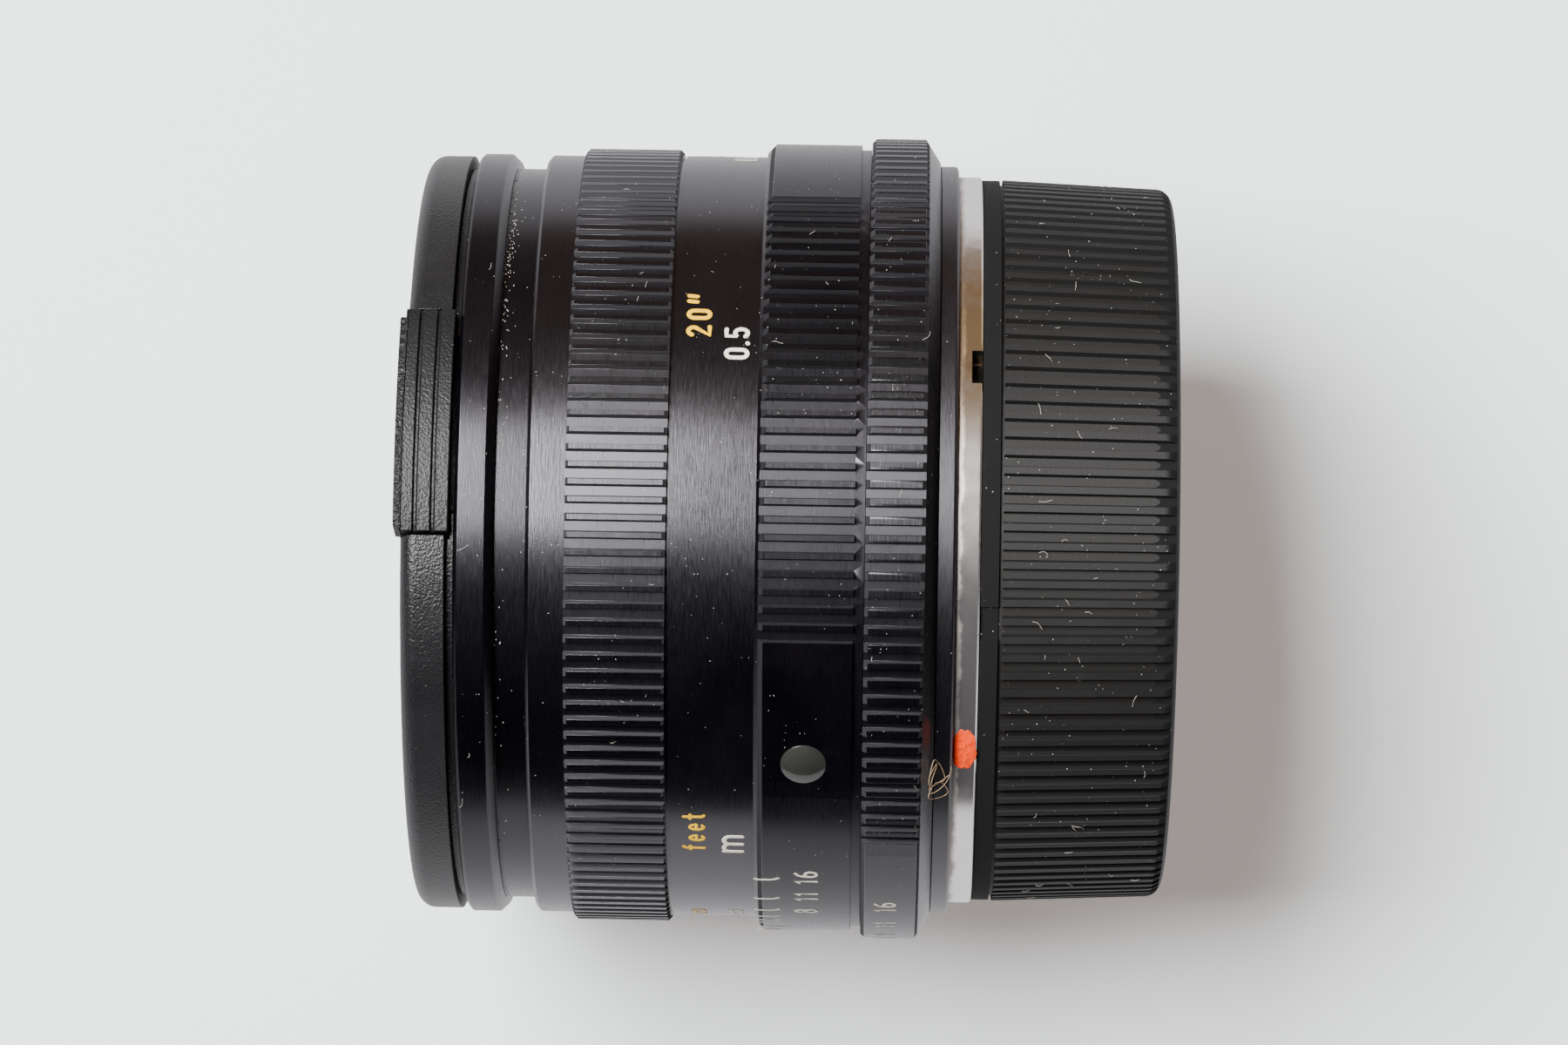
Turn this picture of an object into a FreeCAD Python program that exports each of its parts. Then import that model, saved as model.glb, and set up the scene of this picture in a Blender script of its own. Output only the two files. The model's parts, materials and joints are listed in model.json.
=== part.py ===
import FreeCAD, Part
import math
import os

# A 50 mm prime lens for a reflex camera, with its front cap and rear cap on.
# It stands on the rear cap. +Z is the optical axis, towards the front, and z = 0 is the rear cap's end.
# Sizes are in millimetres. A station is an angle round the barrel in degrees, clockwise seen from the
# front, and station 0 is the -Y side.

os.makedirs("parts", exist_ok=True)

Vector = FreeCAD.Vector
AXIS = Vector(0, 0, 1)
CENTRE = Vector(0, 0, 0)

# Clearances
running_fit = 0.05       # radial play of a ring that turns or slides on another
seat_fit = 0.02          # radial play of pieces that are fixed together
face_gap = 0.05          # axial play between neighbouring faces
tool_margin = 0.5        # how far a cutting shape stands out of what it cuts

# Leading sizes. The rings outside the journal are given by their walls, and the radii inside it are
# written for a 30 mm journal and keep their share of it.
journal_radius = 30.0
spread = journal_radius / 30.0
aperture_wall = 3.0
depth_wall = 2.45
scale_wall = 1.35
hood_wall = 0.75

# Rear cap
rear_cap_height = 15.55
rear_cap_inset = 0.2
rear_cap_rim_inset = 0.05
rear_cap_taper = 0.55
rear_cap_rim_height = 1.42
rear_cap_step_width = 0.28
rear_cap_wall = 1.8
rear_cap_floor = 1.5
rear_cap_corner = 1.3
rear_cap_dish_radius = 22.0 * spread
rear_cap_dish_depth = 0.4
rear_cap_ribs = 125
rib_groove_depth = 0.45
rib_groove_mouth = 0.95 * spread
rib_groove_floor = 0.66 * spread
cap_mark_station = 12.5
cap_mark_width = 2.6
cap_mark_depth = 0.25
cap_lug_thickness = 1.4
cap_lug_side_gap = 7.0   # degrees between a cap lug and a lens lug beside it

# Bayonet flange
flange_inset = 0.05
flange_thickness = 1.9
flange_edge = 0.15
bayonet_bore = 20.9 * spread
bayonet_tube_wall = 2.1
bayonet_tube_length = 5.0
lug_height = 1.4
lug_thickness = 1.6
lug_setback = 3.0
lug_count = 4
lug_span = 46.0
lug_station = 20.0
lock_notch_station = -27.15
lock_notch_width = 2.9
lock_notch_depth = 0.85
lock_notch_reach = 2.4
flange_screw_count = 6
flange_screw_circle = 26.8 * spread
flange_screw_station = 12.0
screw_head_radius = 1.45
screw_shank_radius = 0.8
screw_length = 4.9
screw_slot = 0.4

# Rear baffle, the black plate inside the flange
baffle_setback = 0.8
baffle_thickness = 0.6
baffle_ledge = 0.7
baffle_clearance = 0.5

# Collar between flange and aperture ring
collar_wall = 0.8
collar_thickness = 1.45
collar_edge = 0.2
collar_pocket_depth = 2.15
collar_pocket_span = 52.0

# Stop-down ring, which the camera turns through its tab
stop_ring_outer = 23.2 * spread
stop_ring_inner = 19.0 * spread
stop_ring_gap = 0.1
stop_tab_inner = 19.5 * spread
stop_tab_outer = 20.5 * spread
stop_tab_width = 3.0
stop_tab_reach = 3.2
stop_tab_station = 200.0
stop_travel = 20.0
stop_lug_width = 1.6

# Main housing
housing_wall = 1.6
housing_web_bore = 22.6 * spread
housing_web = 2.2
housing_reach = 2.65
thread_relief = 0.1

# Aperture ring
aperture_ring_width = 5.6
aperture_bevel_height = 1.2
aperture_bevel_depth = 1.9
aperture_front_edge = 0.35
aperture_groove_depth = 0.85
aperture_groove_width = 2.4
aperture_groove_offset = 2.25
aperture_panel_start = 46.7
aperture_panel_end = 126.3
knurl_count = 144
knurl_depth = 0.45
knurl_mouth = 0.98 * spread
knurl_floor = 0.74 * spread
aperture_knurl_mouth = 0.86 * spread
aperture_knurl_floor = 0.70 * spread
aperture_stops = 6
stop_pitch = 7.55
rest_stop = 2            # stops away from the smallest opening
click_ball_radius = 1.1
click_station = 250.0
detent_radius = 0.55
click_spring_thickness = 0.3
click_spring_width = 1.6
click_spring_span = 34.0

# Aperture coupler, which carries the ring's turn in to the iris and to the camera
coupler_gap = 0.15
coupler_thickness = 1.2
coupler_station = 130.0
coupler_tab_span = 9.0
coupler_pocket_depth = 0.8
coupler_fork_inner = 20.9 * spread
coupler_fork_outer = 22.3 * spread
prong_span = 3.4
prong_height = 4.6
finger_span = 6.4
finger_play = 0.5
slot_side_gap = 2.0
cam_inner = 16.6 * spread
cam_outer = 18.4 * spread
cam_span = 24.0
cam_low_step = 1.8
cam_reach = 2.2

# Depth-of-field ring
depth_step = 0.4
depth_step_width = 0.8
depth_ring_width = 8.5
depth_web = 1.55
depth_front_edge = 0.7
skirt_play = 0.1
depth_panel_start = 14.5
depth_panel_end = 143.5
depth_back_start = 216.2
depth_back_end = 301.8
bead_radius = 1.8
bead_height = 0.45
bead_depth = 0.55
bead_station = 33.2
bead_offset = 4.55

# Focus ring: scale band, slotted grip and front lip
scale_width = 7.0
grip_rise = 0.5
grip_width = 7.9
grip_edge = 0.25
grip_slot_depth = 0.46
grip_groove_width = 0.3
grip_groove_depth = 0.35
lip_drop = 0.1
lip_width = 3.05
lip_edge = 0.3
focus_wall = 0.75
skirt_gap = 0.2
skirt_web = 0.95
focus_lip_bore_play = 0.1
focus_lip_thickness = 0.8
nut_length = 4.9
nut_setback = 0.2
nut_screw_count = 3
nut_screw_radius = 0.5
focus_turn = 252.0
focus_travel = 6.5
infinity_gap = 0.3
retainer_thickness = 0.75
retainer_height = 1.45

# Lens barrel
barrel_gap = 2.0
barrel_wall = 1.75
filter_wall = 2.0
filter_depth = 5.4
filter_edge = 0.3
thread_pitch = 0.75
thread_depth = 0.4
thread_turns = 5
barrel_web = 1.8
web_bore = 18.6 * spread
key_width = 3.0
key_length = 5.6
key_inset = 0.4
key_side_gap = 0.1
felt_width = 2.0
felt_depth = 0.5
felt_setback = 9.5

# Telescopic hood
hood_show = 2.5
hood_rim_rise = 1.2
hood_rim_height = 3.1
hood_rim_back_edge = 0.65
hood_rim_front_edge = 0.3
hood_lip_height = 0.7
hood_lip_rise = 0.4
hood_setback = 0.2
hood_front_gap = 2.0

# Front trim ring and its stepped light trap
trim_thickness = 1.1
trim_flat_inner = 21.0 * spread
trim_steps = 8
trim_wall = 1.1

# Optics, from the rear: a single element, a cemented pair, the iris, a cemented pair, a single element
rear_glass_radius = 11.4 * spread
rear_pair_radius = 11.2 * spread
front_pair_radius = 12.8 * spread
front_glass_radius = 14.6 * spread
glass_fit = 0.05
cement = 0.01
rear_glass_thickness = 3.6
rear_air = 0.3
rear_crown_thickness = 5.4
rear_flint_thickness = 1.6
rear_stop_air = 6.8
front_stop_air = 7.0
front_flint_thickness = 1.5
front_crown_thickness = 5.2
front_air = 0.3
front_glass_thickness = 4.0
rear_glass_back_bow = -36.0 * spread
rear_glass_front_bow = 90.0 * spread
rear_crown_back_bow = -20.5 * spread
rear_cement_bow = -120.0 * spread
rear_flint_front_bow = -14.2 * spread
rear_flint_clear = 9.4 * spread
front_flint_back_bow = 13.6 * spread
front_flint_clear = 9.6 * spread
front_cement_bow = 200.0 * spread
front_crown_front_bow = 21.0 * spread
front_glass_back_bow = 105.0 * spread
front_glass_front_bow = 36.0 * spread

# Cells that hold the glass
rear_cell_radius = 15.4 * spread
rear_cell_chamfer = 0.8
cell_lip = 1.05
cell_land = 0.4
rear_ring_height = 0.85
cell_flange_gap = 0.4
cell_flange_thickness = 0.65
cell_flange_radius = 17.0 * spread
front_cell_flange = 1.9
front_cell_flange_thickness = 1.15
front_ring_height = 1.4
front_ring_width = 1.1
spacer_wall = 0.5

# Iris
iris_plate = 0.8
iris_outer = 20.5 * spread
iris_wall = 1.0
iris_open_radius = 10.4 * spread
blade_count = 6
blade_thickness = 0.12
blade_pitch = 0.2
blade_outer = 16.2 * spread
blade_tail = -6.0
blade_tip = 105.0
blade_pivot_radius = 17.4 * spread
blade_pin_radius = 0.35
blade_pin_play = 0.05
blade_lobe_radius = 0.95 * spread
blade_arm = 2.9 * spread
blade_arm_lead = 15.0
blade_swing = 30.3       # degrees from fully open to the smallest opening
cam_slot_play = 0.12
cam_slot_points = 7
iris_ring_inner = 15.6 * spread
iris_ring_thickness = 0.8
iris_cover = 0.6
finger_radial = 1.2
finger_station = 130.0

# Front cap
cap_gap = 0.05
cap_plate_inset = 0.1
cap_plate_flange = 0.6
cap_plate_thickness = 1.35
cap_spigot_fit = 0.25
cap_spigot_depth = 1.7
cap_spigot_wall = 1.2
cap_shell_inset = 0.22
cap_shell_wall = 1.38
cap_shell_height = 3.5
cap_face_thickness = 1.1
cap_face_corner = 1.3
button_station = -17.0
button_rise = 0.42
button_half_width = 9.13
button_depth = 5.5
button_travel = 2.5
button_setback = 0.35
button_side_gap = 0.15
button_overhang = 0.05
button_relief = 0.5
button_relief_margin = 0.55
button_grooves = 2
button_groove_width = 0.3
button_groove_depth = 0.3
button_floor_depth = 3.6
button_ear = 1.4
button_ear_length = 1.3
tongue_half_width = 5.0
tongue_reach = 10.0
tooth_half_width = 7.0
tooth_play = 0.1
tooth_wall = 1.85
tooth_height = 1.5
cap_spring_length = 9.5
cap_boss_half_width = 3.0
spring_strip = 0.25
spring_half_width = 1.6
spring_bars = 8
spring_play = 0.1
stop_spring_bars = 14

# Heights of the main faces, from the rear cap's end to the front
flange_seat = rear_cap_height + face_gap
flange_front = flange_seat + flange_thickness
collar_front = flange_front + collar_thickness
aperture_rear = collar_front + face_gap
aperture_front = aperture_rear + aperture_ring_width
depth_rear = aperture_front + face_gap
depth_front = depth_rear + depth_ring_width
housing_web_front = collar_front + housing_web
housing_front = depth_front + housing_reach
coupler_rear = housing_web_front + coupler_gap
coupler_front = coupler_rear + coupler_thickness
cell_flange_rear = coupler_front + cell_flange_gap
iris_rear = cell_flange_rear + cell_flange_thickness + face_gap
blades_rear = iris_rear + iris_plate + 2 * face_gap
blades_front = blades_rear + (blade_count - 1) * blade_pitch + blade_thickness
iris_ring_rear = blades_front + face_gap
iris_ring_front = iris_ring_rear + iris_ring_thickness
cover_rear = iris_ring_front + face_gap
cover_front = cover_rear + iris_cover
barrel_web_rear = cover_front + 2 * cell_flange_gap - 2 * face_gap - 0.25
barrel_web_front = barrel_web_rear + barrel_web
barrel_rear = coupler_front + barrel_gap
retainer_rear = housing_front + infinity_gap
retainer_front = retainer_rear + retainer_thickness
skirt_web_rear = retainer_front + face_gap
barrel_shoulder = skirt_web_rear + skirt_web + face_gap
focus_rear = depth_rear + depth_web + skirt_gap
grip_rear = depth_front + scale_width
grip_front = grip_rear + grip_width
focus_front = grip_front + lip_width
hood_rear = barrel_shoulder + hood_setback
hood_rim_rear = focus_front + hood_show
hood_front = hood_rim_rear + hood_rim_height
barrel_front = hood_front - hood_front_gap
filter_floor = barrel_front - filter_depth
trim_front = filter_floor + trim_thickness
hood_travel = focus_front - focus_lip_thickness - hood_rear - hood_lip_height - 2 * face_gap

# Radii that follow from a neighbour
housing_bore = journal_radius - housing_wall
aperture_radius = journal_radius + aperture_wall
depth_radius = journal_radius + depth_wall
depth_step_radius = depth_radius - depth_step
scale_radius = journal_radius + scale_wall
grip_radius = scale_radius + grip_rise
lip_radius = scale_radius - lip_drop
collar_radius = journal_radius + collar_wall
flange_radius = journal_radius - flange_inset
rear_cap_wall_radius = flange_radius - rear_cap_inset
rear_cap_rim_radius = rear_cap_wall_radius - rear_cap_rim_inset
rear_cap_end_radius = rear_cap_wall_radius - rear_cap_taper
cap_inner = rear_cap_wall_radius - rear_cap_wall
bayonet_tube = bayonet_bore + bayonet_tube_wall
lug_radius = bayonet_tube + lug_height
baffle_seat = bayonet_bore + baffle_ledge
collar_bore = stop_ring_outer + running_fit
focus_bore = scale_radius - focus_wall
depth_bore = scale_radius + skirt_play
thread_radius = journal_radius - thread_relief
nut_bore = thread_radius + running_fit
barrel_rear_radius = housing_bore - running_fit
barrel_bore = barrel_rear_radius - barrel_wall
hood_outer = focus_bore - hood_lip_rise - 2 * running_fit
hood_bore = hood_outer - hood_wall
barrel_front_radius = hood_bore - 2 * running_fit
filter_bore = barrel_front_radius - filter_wall
hood_lip_radius = hood_outer + hood_lip_rise
hood_rim_radius = hood_outer + hood_rim_rise
cap_plate_radius = hood_outer - cap_plate_inset
cap_shell_radius = hood_rim_radius - cap_shell_inset
button_radius = cap_shell_radius + button_rise
button_inner = button_radius - button_depth
tongue_inner = button_inner - tongue_reach
cap_boss_half_length = tongue_inner - cap_spring_length
front_cell_radius = web_bore - running_fit
iris_bore = iris_outer - iris_wall
iris_ring_outer = iris_bore - 2 * running_fit
aperture_turn_open = (aperture_stops - rest_stop) * stop_pitch
aperture_turn_closed = rest_stop * stop_pitch
aperture_turn = aperture_turn_open + aperture_turn_closed
blade_rest = blade_swing * aperture_turn_open / aperture_turn

# Vertices of the glass, outwards from the iris
stop_height = (blades_rear + blades_front) / 2
rear_flint_front = stop_height - rear_stop_air
rear_cement = rear_flint_front - rear_flint_thickness
rear_crown_back = rear_cement - rear_crown_thickness
rear_glass_front = rear_crown_back - rear_air
rear_glass_back = rear_glass_front - rear_glass_thickness
front_flint_back = stop_height + front_stop_air
front_cement = front_flint_back + front_flint_thickness
front_crown_front = front_cement + front_crown_thickness
front_glass_back = front_crown_front + front_air
front_glass_front = front_glass_back + front_glass_thickness


def bearing(station):
    """The angle from +X, anticlockwise seen from the front, of a station."""
    return -90.0 - station


def turned(shape, angle):
    """A copy of the shape, turned about the optical axis."""
    copy = shape.copy()
    copy.rotate(CENTRE, AXIS, angle)
    return copy


def at_station(shape, station):
    """A copy of a shape drawn on the +X side, brought to its station."""
    return turned(shape, bearing(station))


def lathe(points, angle=360.0):
    """A turned piece from its closed outline of (radius, height) points."""
    corners = [Vector(radius, 0, height) for radius, height in points]
    face = Part.Face(Part.makePolygon(corners + corners[:1]))
    return face.revolve(CENTRE, AXIS, angle)


def tube(inner, outer, bottom, top):
    return lathe([(inner, bottom), (outer, bottom), (outer, top), (inner, top)])


def sector(inner, outer, bottom, top, middle, span):
    """Part of a tube, centred on a bearing and spanning so many degrees."""
    outline = [(inner, bottom), (outer, bottom), (outer, top), (inner, top)]
    return turned(lathe(outline, span), middle - span / 2)


def box(x, y, z):
    """A block between two limits on each axis."""
    return Part.makeBox(x[1] - x[0], y[1] - y[0], z[1] - z[0], Vector(x[0], y[0], z[0]))


def rod(radius, x, y, bottom, top):
    return Part.makeCylinder(radius, top - bottom, Vector(x, y, bottom), AXIS)


def round_corner(corner, radius, before, after):
    """The two tangent points and the middle of an arc that rounds a square corner in an outline."""
    start = (corner[0] + before[0] * radius, corner[1] + before[1] * radius)
    end = (corner[0] + after[0] * radius, corner[1] + after[1] * radius)
    inset = radius * (1 - math.sqrt(0.5))
    middle = (
        corner[0] + (before[0] + after[0]) * inset,
        corner[1] + (before[1] + after[1]) * inset,
    )
    return start, middle, end


def lathe_rounded(points, arc_from, arc_middle):
    """A turned piece whose outline is straight but for an arc from one of its points to the next."""
    corners = [Vector(radius, 0, height) for radius, height in points]
    edges = []
    for place, corner in enumerate(corners):
        following = corners[(place + 1) % len(corners)]
        if place == arc_from:
            middle = Vector(arc_middle[0], 0, arc_middle[1])
            edges.append(Part.Arc(corner, middle, following).toShape())
        else:
            edges.append(Part.LineSegment(corner, following).toShape())
    face = Part.Face(Part.Wire(edges))
    return face.revolve(CENTRE, AXIS, 360.0)


def trapezoid(radius, depth, mouth, floor, height):
    """The section of a groove at one height, open past the wall's radius."""
    slope = (mouth - floor) / 2 / depth
    lip = mouth / 2 + slope * tool_margin
    corners = [
        Vector(radius - depth, -floor / 2, height),
        Vector(radius + tool_margin, -lip, height),
        Vector(radius + tool_margin, lip, height),
        Vector(radius - depth, floor / 2, height),
    ]
    return Part.makePolygon(corners + corners[:1])


def groove(low_radius, high_radius, depth, mouth, floor, bottom, top):
    """A lengthwise groove on the +X side, whose floor follows a straight or tapered wall."""
    sections = [
        trapezoid(low_radius, depth, mouth, floor, bottom),
        trapezoid(high_radius, depth, mouth, floor, top),
    ]
    return Part.makeLoft(sections, True, True)


def knurl(radius, mouth, floor, bottom, top, start, end):
    """The grooves that lie between two stations, on the shared pitch."""
    pitch = 360.0 / knurl_count
    tool = groove(radius, radius, knurl_depth, mouth, floor, bottom, top)
    first = math.ceil(start / pitch - 0.5)
    last = math.floor(end / pitch - 0.5)
    return [at_station(tool, (place + 0.5) * pitch) for place in range(first, last + 1)]


def slotted_screw(head_radius, shank_radius, length):
    """A countersunk screw with its head's face at z = 0 and its shank along +Z."""
    head = head_radius - shank_radius
    body = lathe([
        (0, 0), (head_radius, 0), (shank_radius, head), (shank_radius, length), (0, length),
    ])
    slot = box((-head_radius, head_radius), (-screw_slot / 2, screw_slot / 2), (-1, screw_slot))
    return body.cut(slot)


def screw_hole(head_radius, shank_radius, length):
    """The clearance that a countersunk screw needs in the pieces it joins."""
    head = head_radius - shank_radius
    wide = head_radius + seat_fit
    thin = shank_radius + seat_fit
    return lathe([
        (0, -tool_margin), (wide, -tool_margin), (wide, seat_fit),
        (thin, head + seat_fit), (thin, length + seat_fit), (0, length + seat_fit),
    ])


def serpentine(start, end, bars, half_width, bottom, top):
    """A flat folded spring along +X between two radii."""
    pitch = (end - start - spring_strip) / (bars - 1)
    pieces = []
    for place in range(bars):
        left = start + place * pitch
        pieces.append(box((left, left + spring_strip), (-half_width, half_width), (bottom, top)))
        if place < bars - 1:
            side = half_width if place % 2 else spring_strip - half_width
            link = (left, left + pitch + spring_strip)
            pieces.append(box(link, (side - spring_strip, side), (bottom, top)))
    return pieces[0].fuse(pieces[1:]).removeSplitter()


def surface(vertex, bow, radius):
    """Height of a spherical face at a radius. A positive bow is centred behind the face."""
    sag = abs(bow) - math.sqrt(bow * bow - radius * radius)
    return vertex - math.copysign(sag, bow)


def lens_element(back, back_bow, front, front_bow, radius, back_clear=None, front_clear=None):
    """A lens element with two spherical faces and a flat annulus where a face stops short."""
    back_rim = back_clear or radius
    front_rim = front_clear or radius
    marks = [
        (0, back),
        (back_rim / 2, surface(back, back_bow, back_rim / 2)),
        (back_rim, surface(back, back_bow, back_rim)),
        (radius, surface(back, back_bow, back_rim)),
        (radius, surface(front, front_bow, front_rim)),
        (front_rim, surface(front, front_bow, front_rim)),
        (front_rim / 2, surface(front, front_bow, front_rim / 2)),
        (0, front),
    ]
    places = [Vector(x, 0, z) for x, z in marks]
    edges = [Part.Arc(places[0], places[1], places[2]).toShape()]
    for first, second in ((2, 3), (3, 4), (4, 5)):
        if places[first].distanceToPoint(places[second]) > 1e-6:
            edges.append(Part.LineSegment(places[first], places[second]).toShape())
    edges.append(Part.Arc(places[5], places[6], places[7]).toShape())
    edges.append(Part.LineSegment(places[7], places[0]).toShape())
    face = Part.Face(Part.Wire(edges))
    return face.revolve(CENTRE, AXIS, 360.0)


def make_rear_cap():
    step_top = rear_cap_height - rear_cap_rim_height
    step_bottom = step_top - rear_cap_step_width
    start, middle, end = round_corner((rear_cap_end_radius, 0), rear_cap_corner, (-1, 0), (0, 1))
    outline = [
        start, end,
        (rear_cap_wall_radius, step_bottom),
        (rear_cap_wall_radius - rib_groove_depth, step_bottom),
        (rear_cap_wall_radius - rib_groove_depth, step_top),
        (rear_cap_rim_radius, step_top),
        (rear_cap_rim_radius, rear_cap_height),
        (cap_inner, rear_cap_height),
        (cap_inner, rear_cap_floor),
        (0, rear_cap_floor),
        (0, rear_cap_dish_depth),
        (rear_cap_dish_radius, rear_cap_dish_depth),
        (rear_cap_dish_radius, 0),
    ]
    cap = lathe_rounded(outline, 0, middle)
    tool = groove(
        rear_cap_end_radius, rear_cap_wall_radius, rib_groove_depth,
        rib_groove_mouth, rib_groove_floor, 0, step_bottom,
    )
    pitch = 360.0 / rear_cap_ribs
    grooves = [turned(tool, place * pitch) for place in range(rear_cap_ribs)]
    mark = at_station(
        box(
            (rear_cap_rim_radius - cap_mark_depth, rear_cap_rim_radius + tool_margin),
            (-cap_mark_width / 2, cap_mark_width / 2),
            (step_top, rear_cap_height + tool_margin),
        ),
        cap_mark_station,
    )
    cap = cap.cut(grooves + [mark])
    lug_bottom = flange_seat - lug_setback + 2 * face_gap
    lug_pitch = 360.0 / lug_count
    cap_lug_span = lug_pitch - lug_span - 2 * cap_lug_side_gap
    lugs = [
        sector(
            bayonet_tube + 4 * running_fit, cap_inner + seat_fit, lug_bottom,
            lug_bottom + cap_lug_thickness,
            bearing(lug_station + (place + 0.5) * lug_pitch), cap_lug_span,
        )
        for place in range(lug_count)
    ]
    return cap.fuse(lugs)


def flange_screw_places():
    pitch = 360.0 / flange_screw_count
    return [bearing(flange_screw_station + place * pitch) for place in range(flange_screw_count)]


def on_screw_circle(shape):
    """Copies of a shape drawn at the origin, one at each flange screw."""
    moved = shape.copy()
    moved.translate(Vector(flange_screw_circle, 0, flange_seat))
    return [turned(moved, place) for place in flange_screw_places()]


def make_bayonet_flange():
    tube_rear = flange_seat - bayonet_tube_length
    shelf = flange_seat + baffle_setback
    flange = lathe([
        (bayonet_bore, tube_rear),
        (bayonet_tube, tube_rear),
        (bayonet_tube, flange_seat),
        (flange_radius - flange_edge, flange_seat),
        (flange_radius, flange_seat + flange_edge),
        (flange_radius, flange_front),
        (baffle_seat, flange_front),
        (baffle_seat, shelf),
        (bayonet_bore, shelf),
    ])
    lug_front = flange_seat - lug_setback
    lugs = [
        sector(
            bayonet_tube - seat_fit, lug_radius, lug_front - lug_thickness, lug_front,
            bearing(lug_station + place * 360.0 / lug_count), lug_span,
        )
        for place in range(lug_count)
    ]
    notch = at_station(
        box(
            (flange_radius - lock_notch_reach, flange_radius + tool_margin),
            (-lock_notch_width / 2, lock_notch_width / 2),
            (flange_seat - tool_margin, flange_seat + lock_notch_depth),
        ),
        lock_notch_station,
    )
    holes = on_screw_circle(screw_hole(screw_head_radius, screw_shank_radius, screw_length))
    return flange.fuse(lugs).cut(holes + [notch])


def make_flange_screws():
    screw = slotted_screw(screw_head_radius, screw_shank_radius, screw_length)
    return Part.makeCompound(on_screw_circle(screw))


def stop_slot_middle(shift):
    """Bearing of the middle of what the stop-down tab sweeps, from rest to its travel."""
    return bearing(stop_tab_station) + shift * stop_travel / 2


def make_rear_baffle():
    rear = flange_seat + baffle_setback
    plate = tube(rear_cell_radius + baffle_clearance, baffle_seat - seat_fit, rear, rear + baffle_thickness)
    tab_span = math.degrees(stop_tab_width / stop_tab_inner)
    tab_slot = sector(
        stop_tab_inner - 2 * stop_ring_gap, stop_tab_outer + 2 * stop_ring_gap,
        rear - tool_margin, rear + baffle_thickness + tool_margin,
        stop_slot_middle(1), tab_span + stop_travel + slot_side_gap,
    )
    cam_slot = sector(
        cam_inner - 2 * stop_ring_gap, cam_outer + 2 * stop_ring_gap,
        rear - tool_margin, rear + baffle_thickness + tool_margin,
        cam_middle() + (aperture_turn_open - aperture_turn_closed) / 2,
        cam_span + aperture_turn + slot_side_gap,
    )
    return plate.cut([tab_slot, cam_slot])


def make_rear_collar():
    collar = lathe([
        (collar_bore, flange_front),
        (collar_radius - collar_edge, flange_front),
        (collar_radius, flange_front + collar_edge),
        (collar_radius, collar_front),
        (collar_bore, collar_front),
    ])
    pocket = sector(
        collar_bore - tool_margin, collar_bore + collar_pocket_depth,
        flange_front - tool_margin, collar_front + tool_margin,
        stop_pocket_middle(), collar_pocket_span,
    )
    holes = on_screw_circle(screw_hole(screw_head_radius, screw_shank_radius, screw_length))
    return collar.cut(holes + [pocket])


def stop_pocket_middle():
    """Bearing of the pocket that the stop-down spring lies in."""
    return bearing(stop_tab_station)


def stop_lug_middle():
    """Bearing of the stop-down ring's lug at rest, at the pocket's first end."""
    lug = math.degrees(stop_lug_width / stop_ring_outer)
    return stop_pocket_middle() - collar_pocket_span / 2 + lug / 2 + slot_side_gap


def make_stop_down_ring():
    rear = flange_front + stop_ring_gap
    front = collar_front - stop_ring_gap
    ring = tube(stop_ring_inner, stop_ring_outer, rear, front)
    tab_bottom = flange_seat - stop_tab_reach
    tab_span = math.degrees(stop_tab_width / stop_tab_inner)
    tab = sector(
        stop_tab_inner, stop_tab_outer, tab_bottom, front, bearing(stop_tab_station), tab_span,
    )
    lug_span_here = math.degrees(stop_lug_width / stop_ring_outer)
    lug = sector(
        stop_ring_outer - seat_fit, collar_bore + collar_pocket_depth - 4 * running_fit,
        rear, front, stop_lug_middle(), lug_span_here,
    )
    return ring.fuse([tab, lug]).removeSplitter()


def make_stop_down_spring():
    """The folded spring that lies along the collar's pocket, from the lug to the pocket's far end."""
    inner = collar_bore + 2 * spring_play
    outer = collar_bore + collar_pocket_depth - 2 * spring_play
    bottom = flange_front + 2 * stop_ring_gap
    top = collar_front - 2 * stop_ring_gap
    strip = math.degrees(spring_strip / outer)
    lug_edge = stop_lug_middle() + math.degrees(stop_lug_width / stop_ring_outer) / 2
    wall = stop_pocket_middle() + collar_pocket_span / 2
    first = lug_edge + 2 * strip
    pitch = (wall - 2 * strip - first) / (stop_spring_bars - 1)
    bar = box((inner, outer), (-spring_strip / 2, spring_strip / 2), (bottom, top))
    pieces = []
    for place in range(stop_spring_bars):
        here = first + place * pitch
        pieces.append(turned(bar, here))
        if place < stop_spring_bars - 1:
            low = inner if place % 2 else outer - spring_strip
            middle = here + pitch / 2
            pieces.append(sector(low, low + spring_strip, bottom, top, middle, pitch + strip))
    return pieces[0].fuse(pieces[1:]).removeSplitter()


def aperture_groove():
    """Rear and front heights of the groove inside the aperture ring."""
    rear = aperture_rear + aperture_groove_offset
    return rear, rear + aperture_groove_width


def click_height():
    rear, front = aperture_groove()
    return (rear + front) / 2


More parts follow.
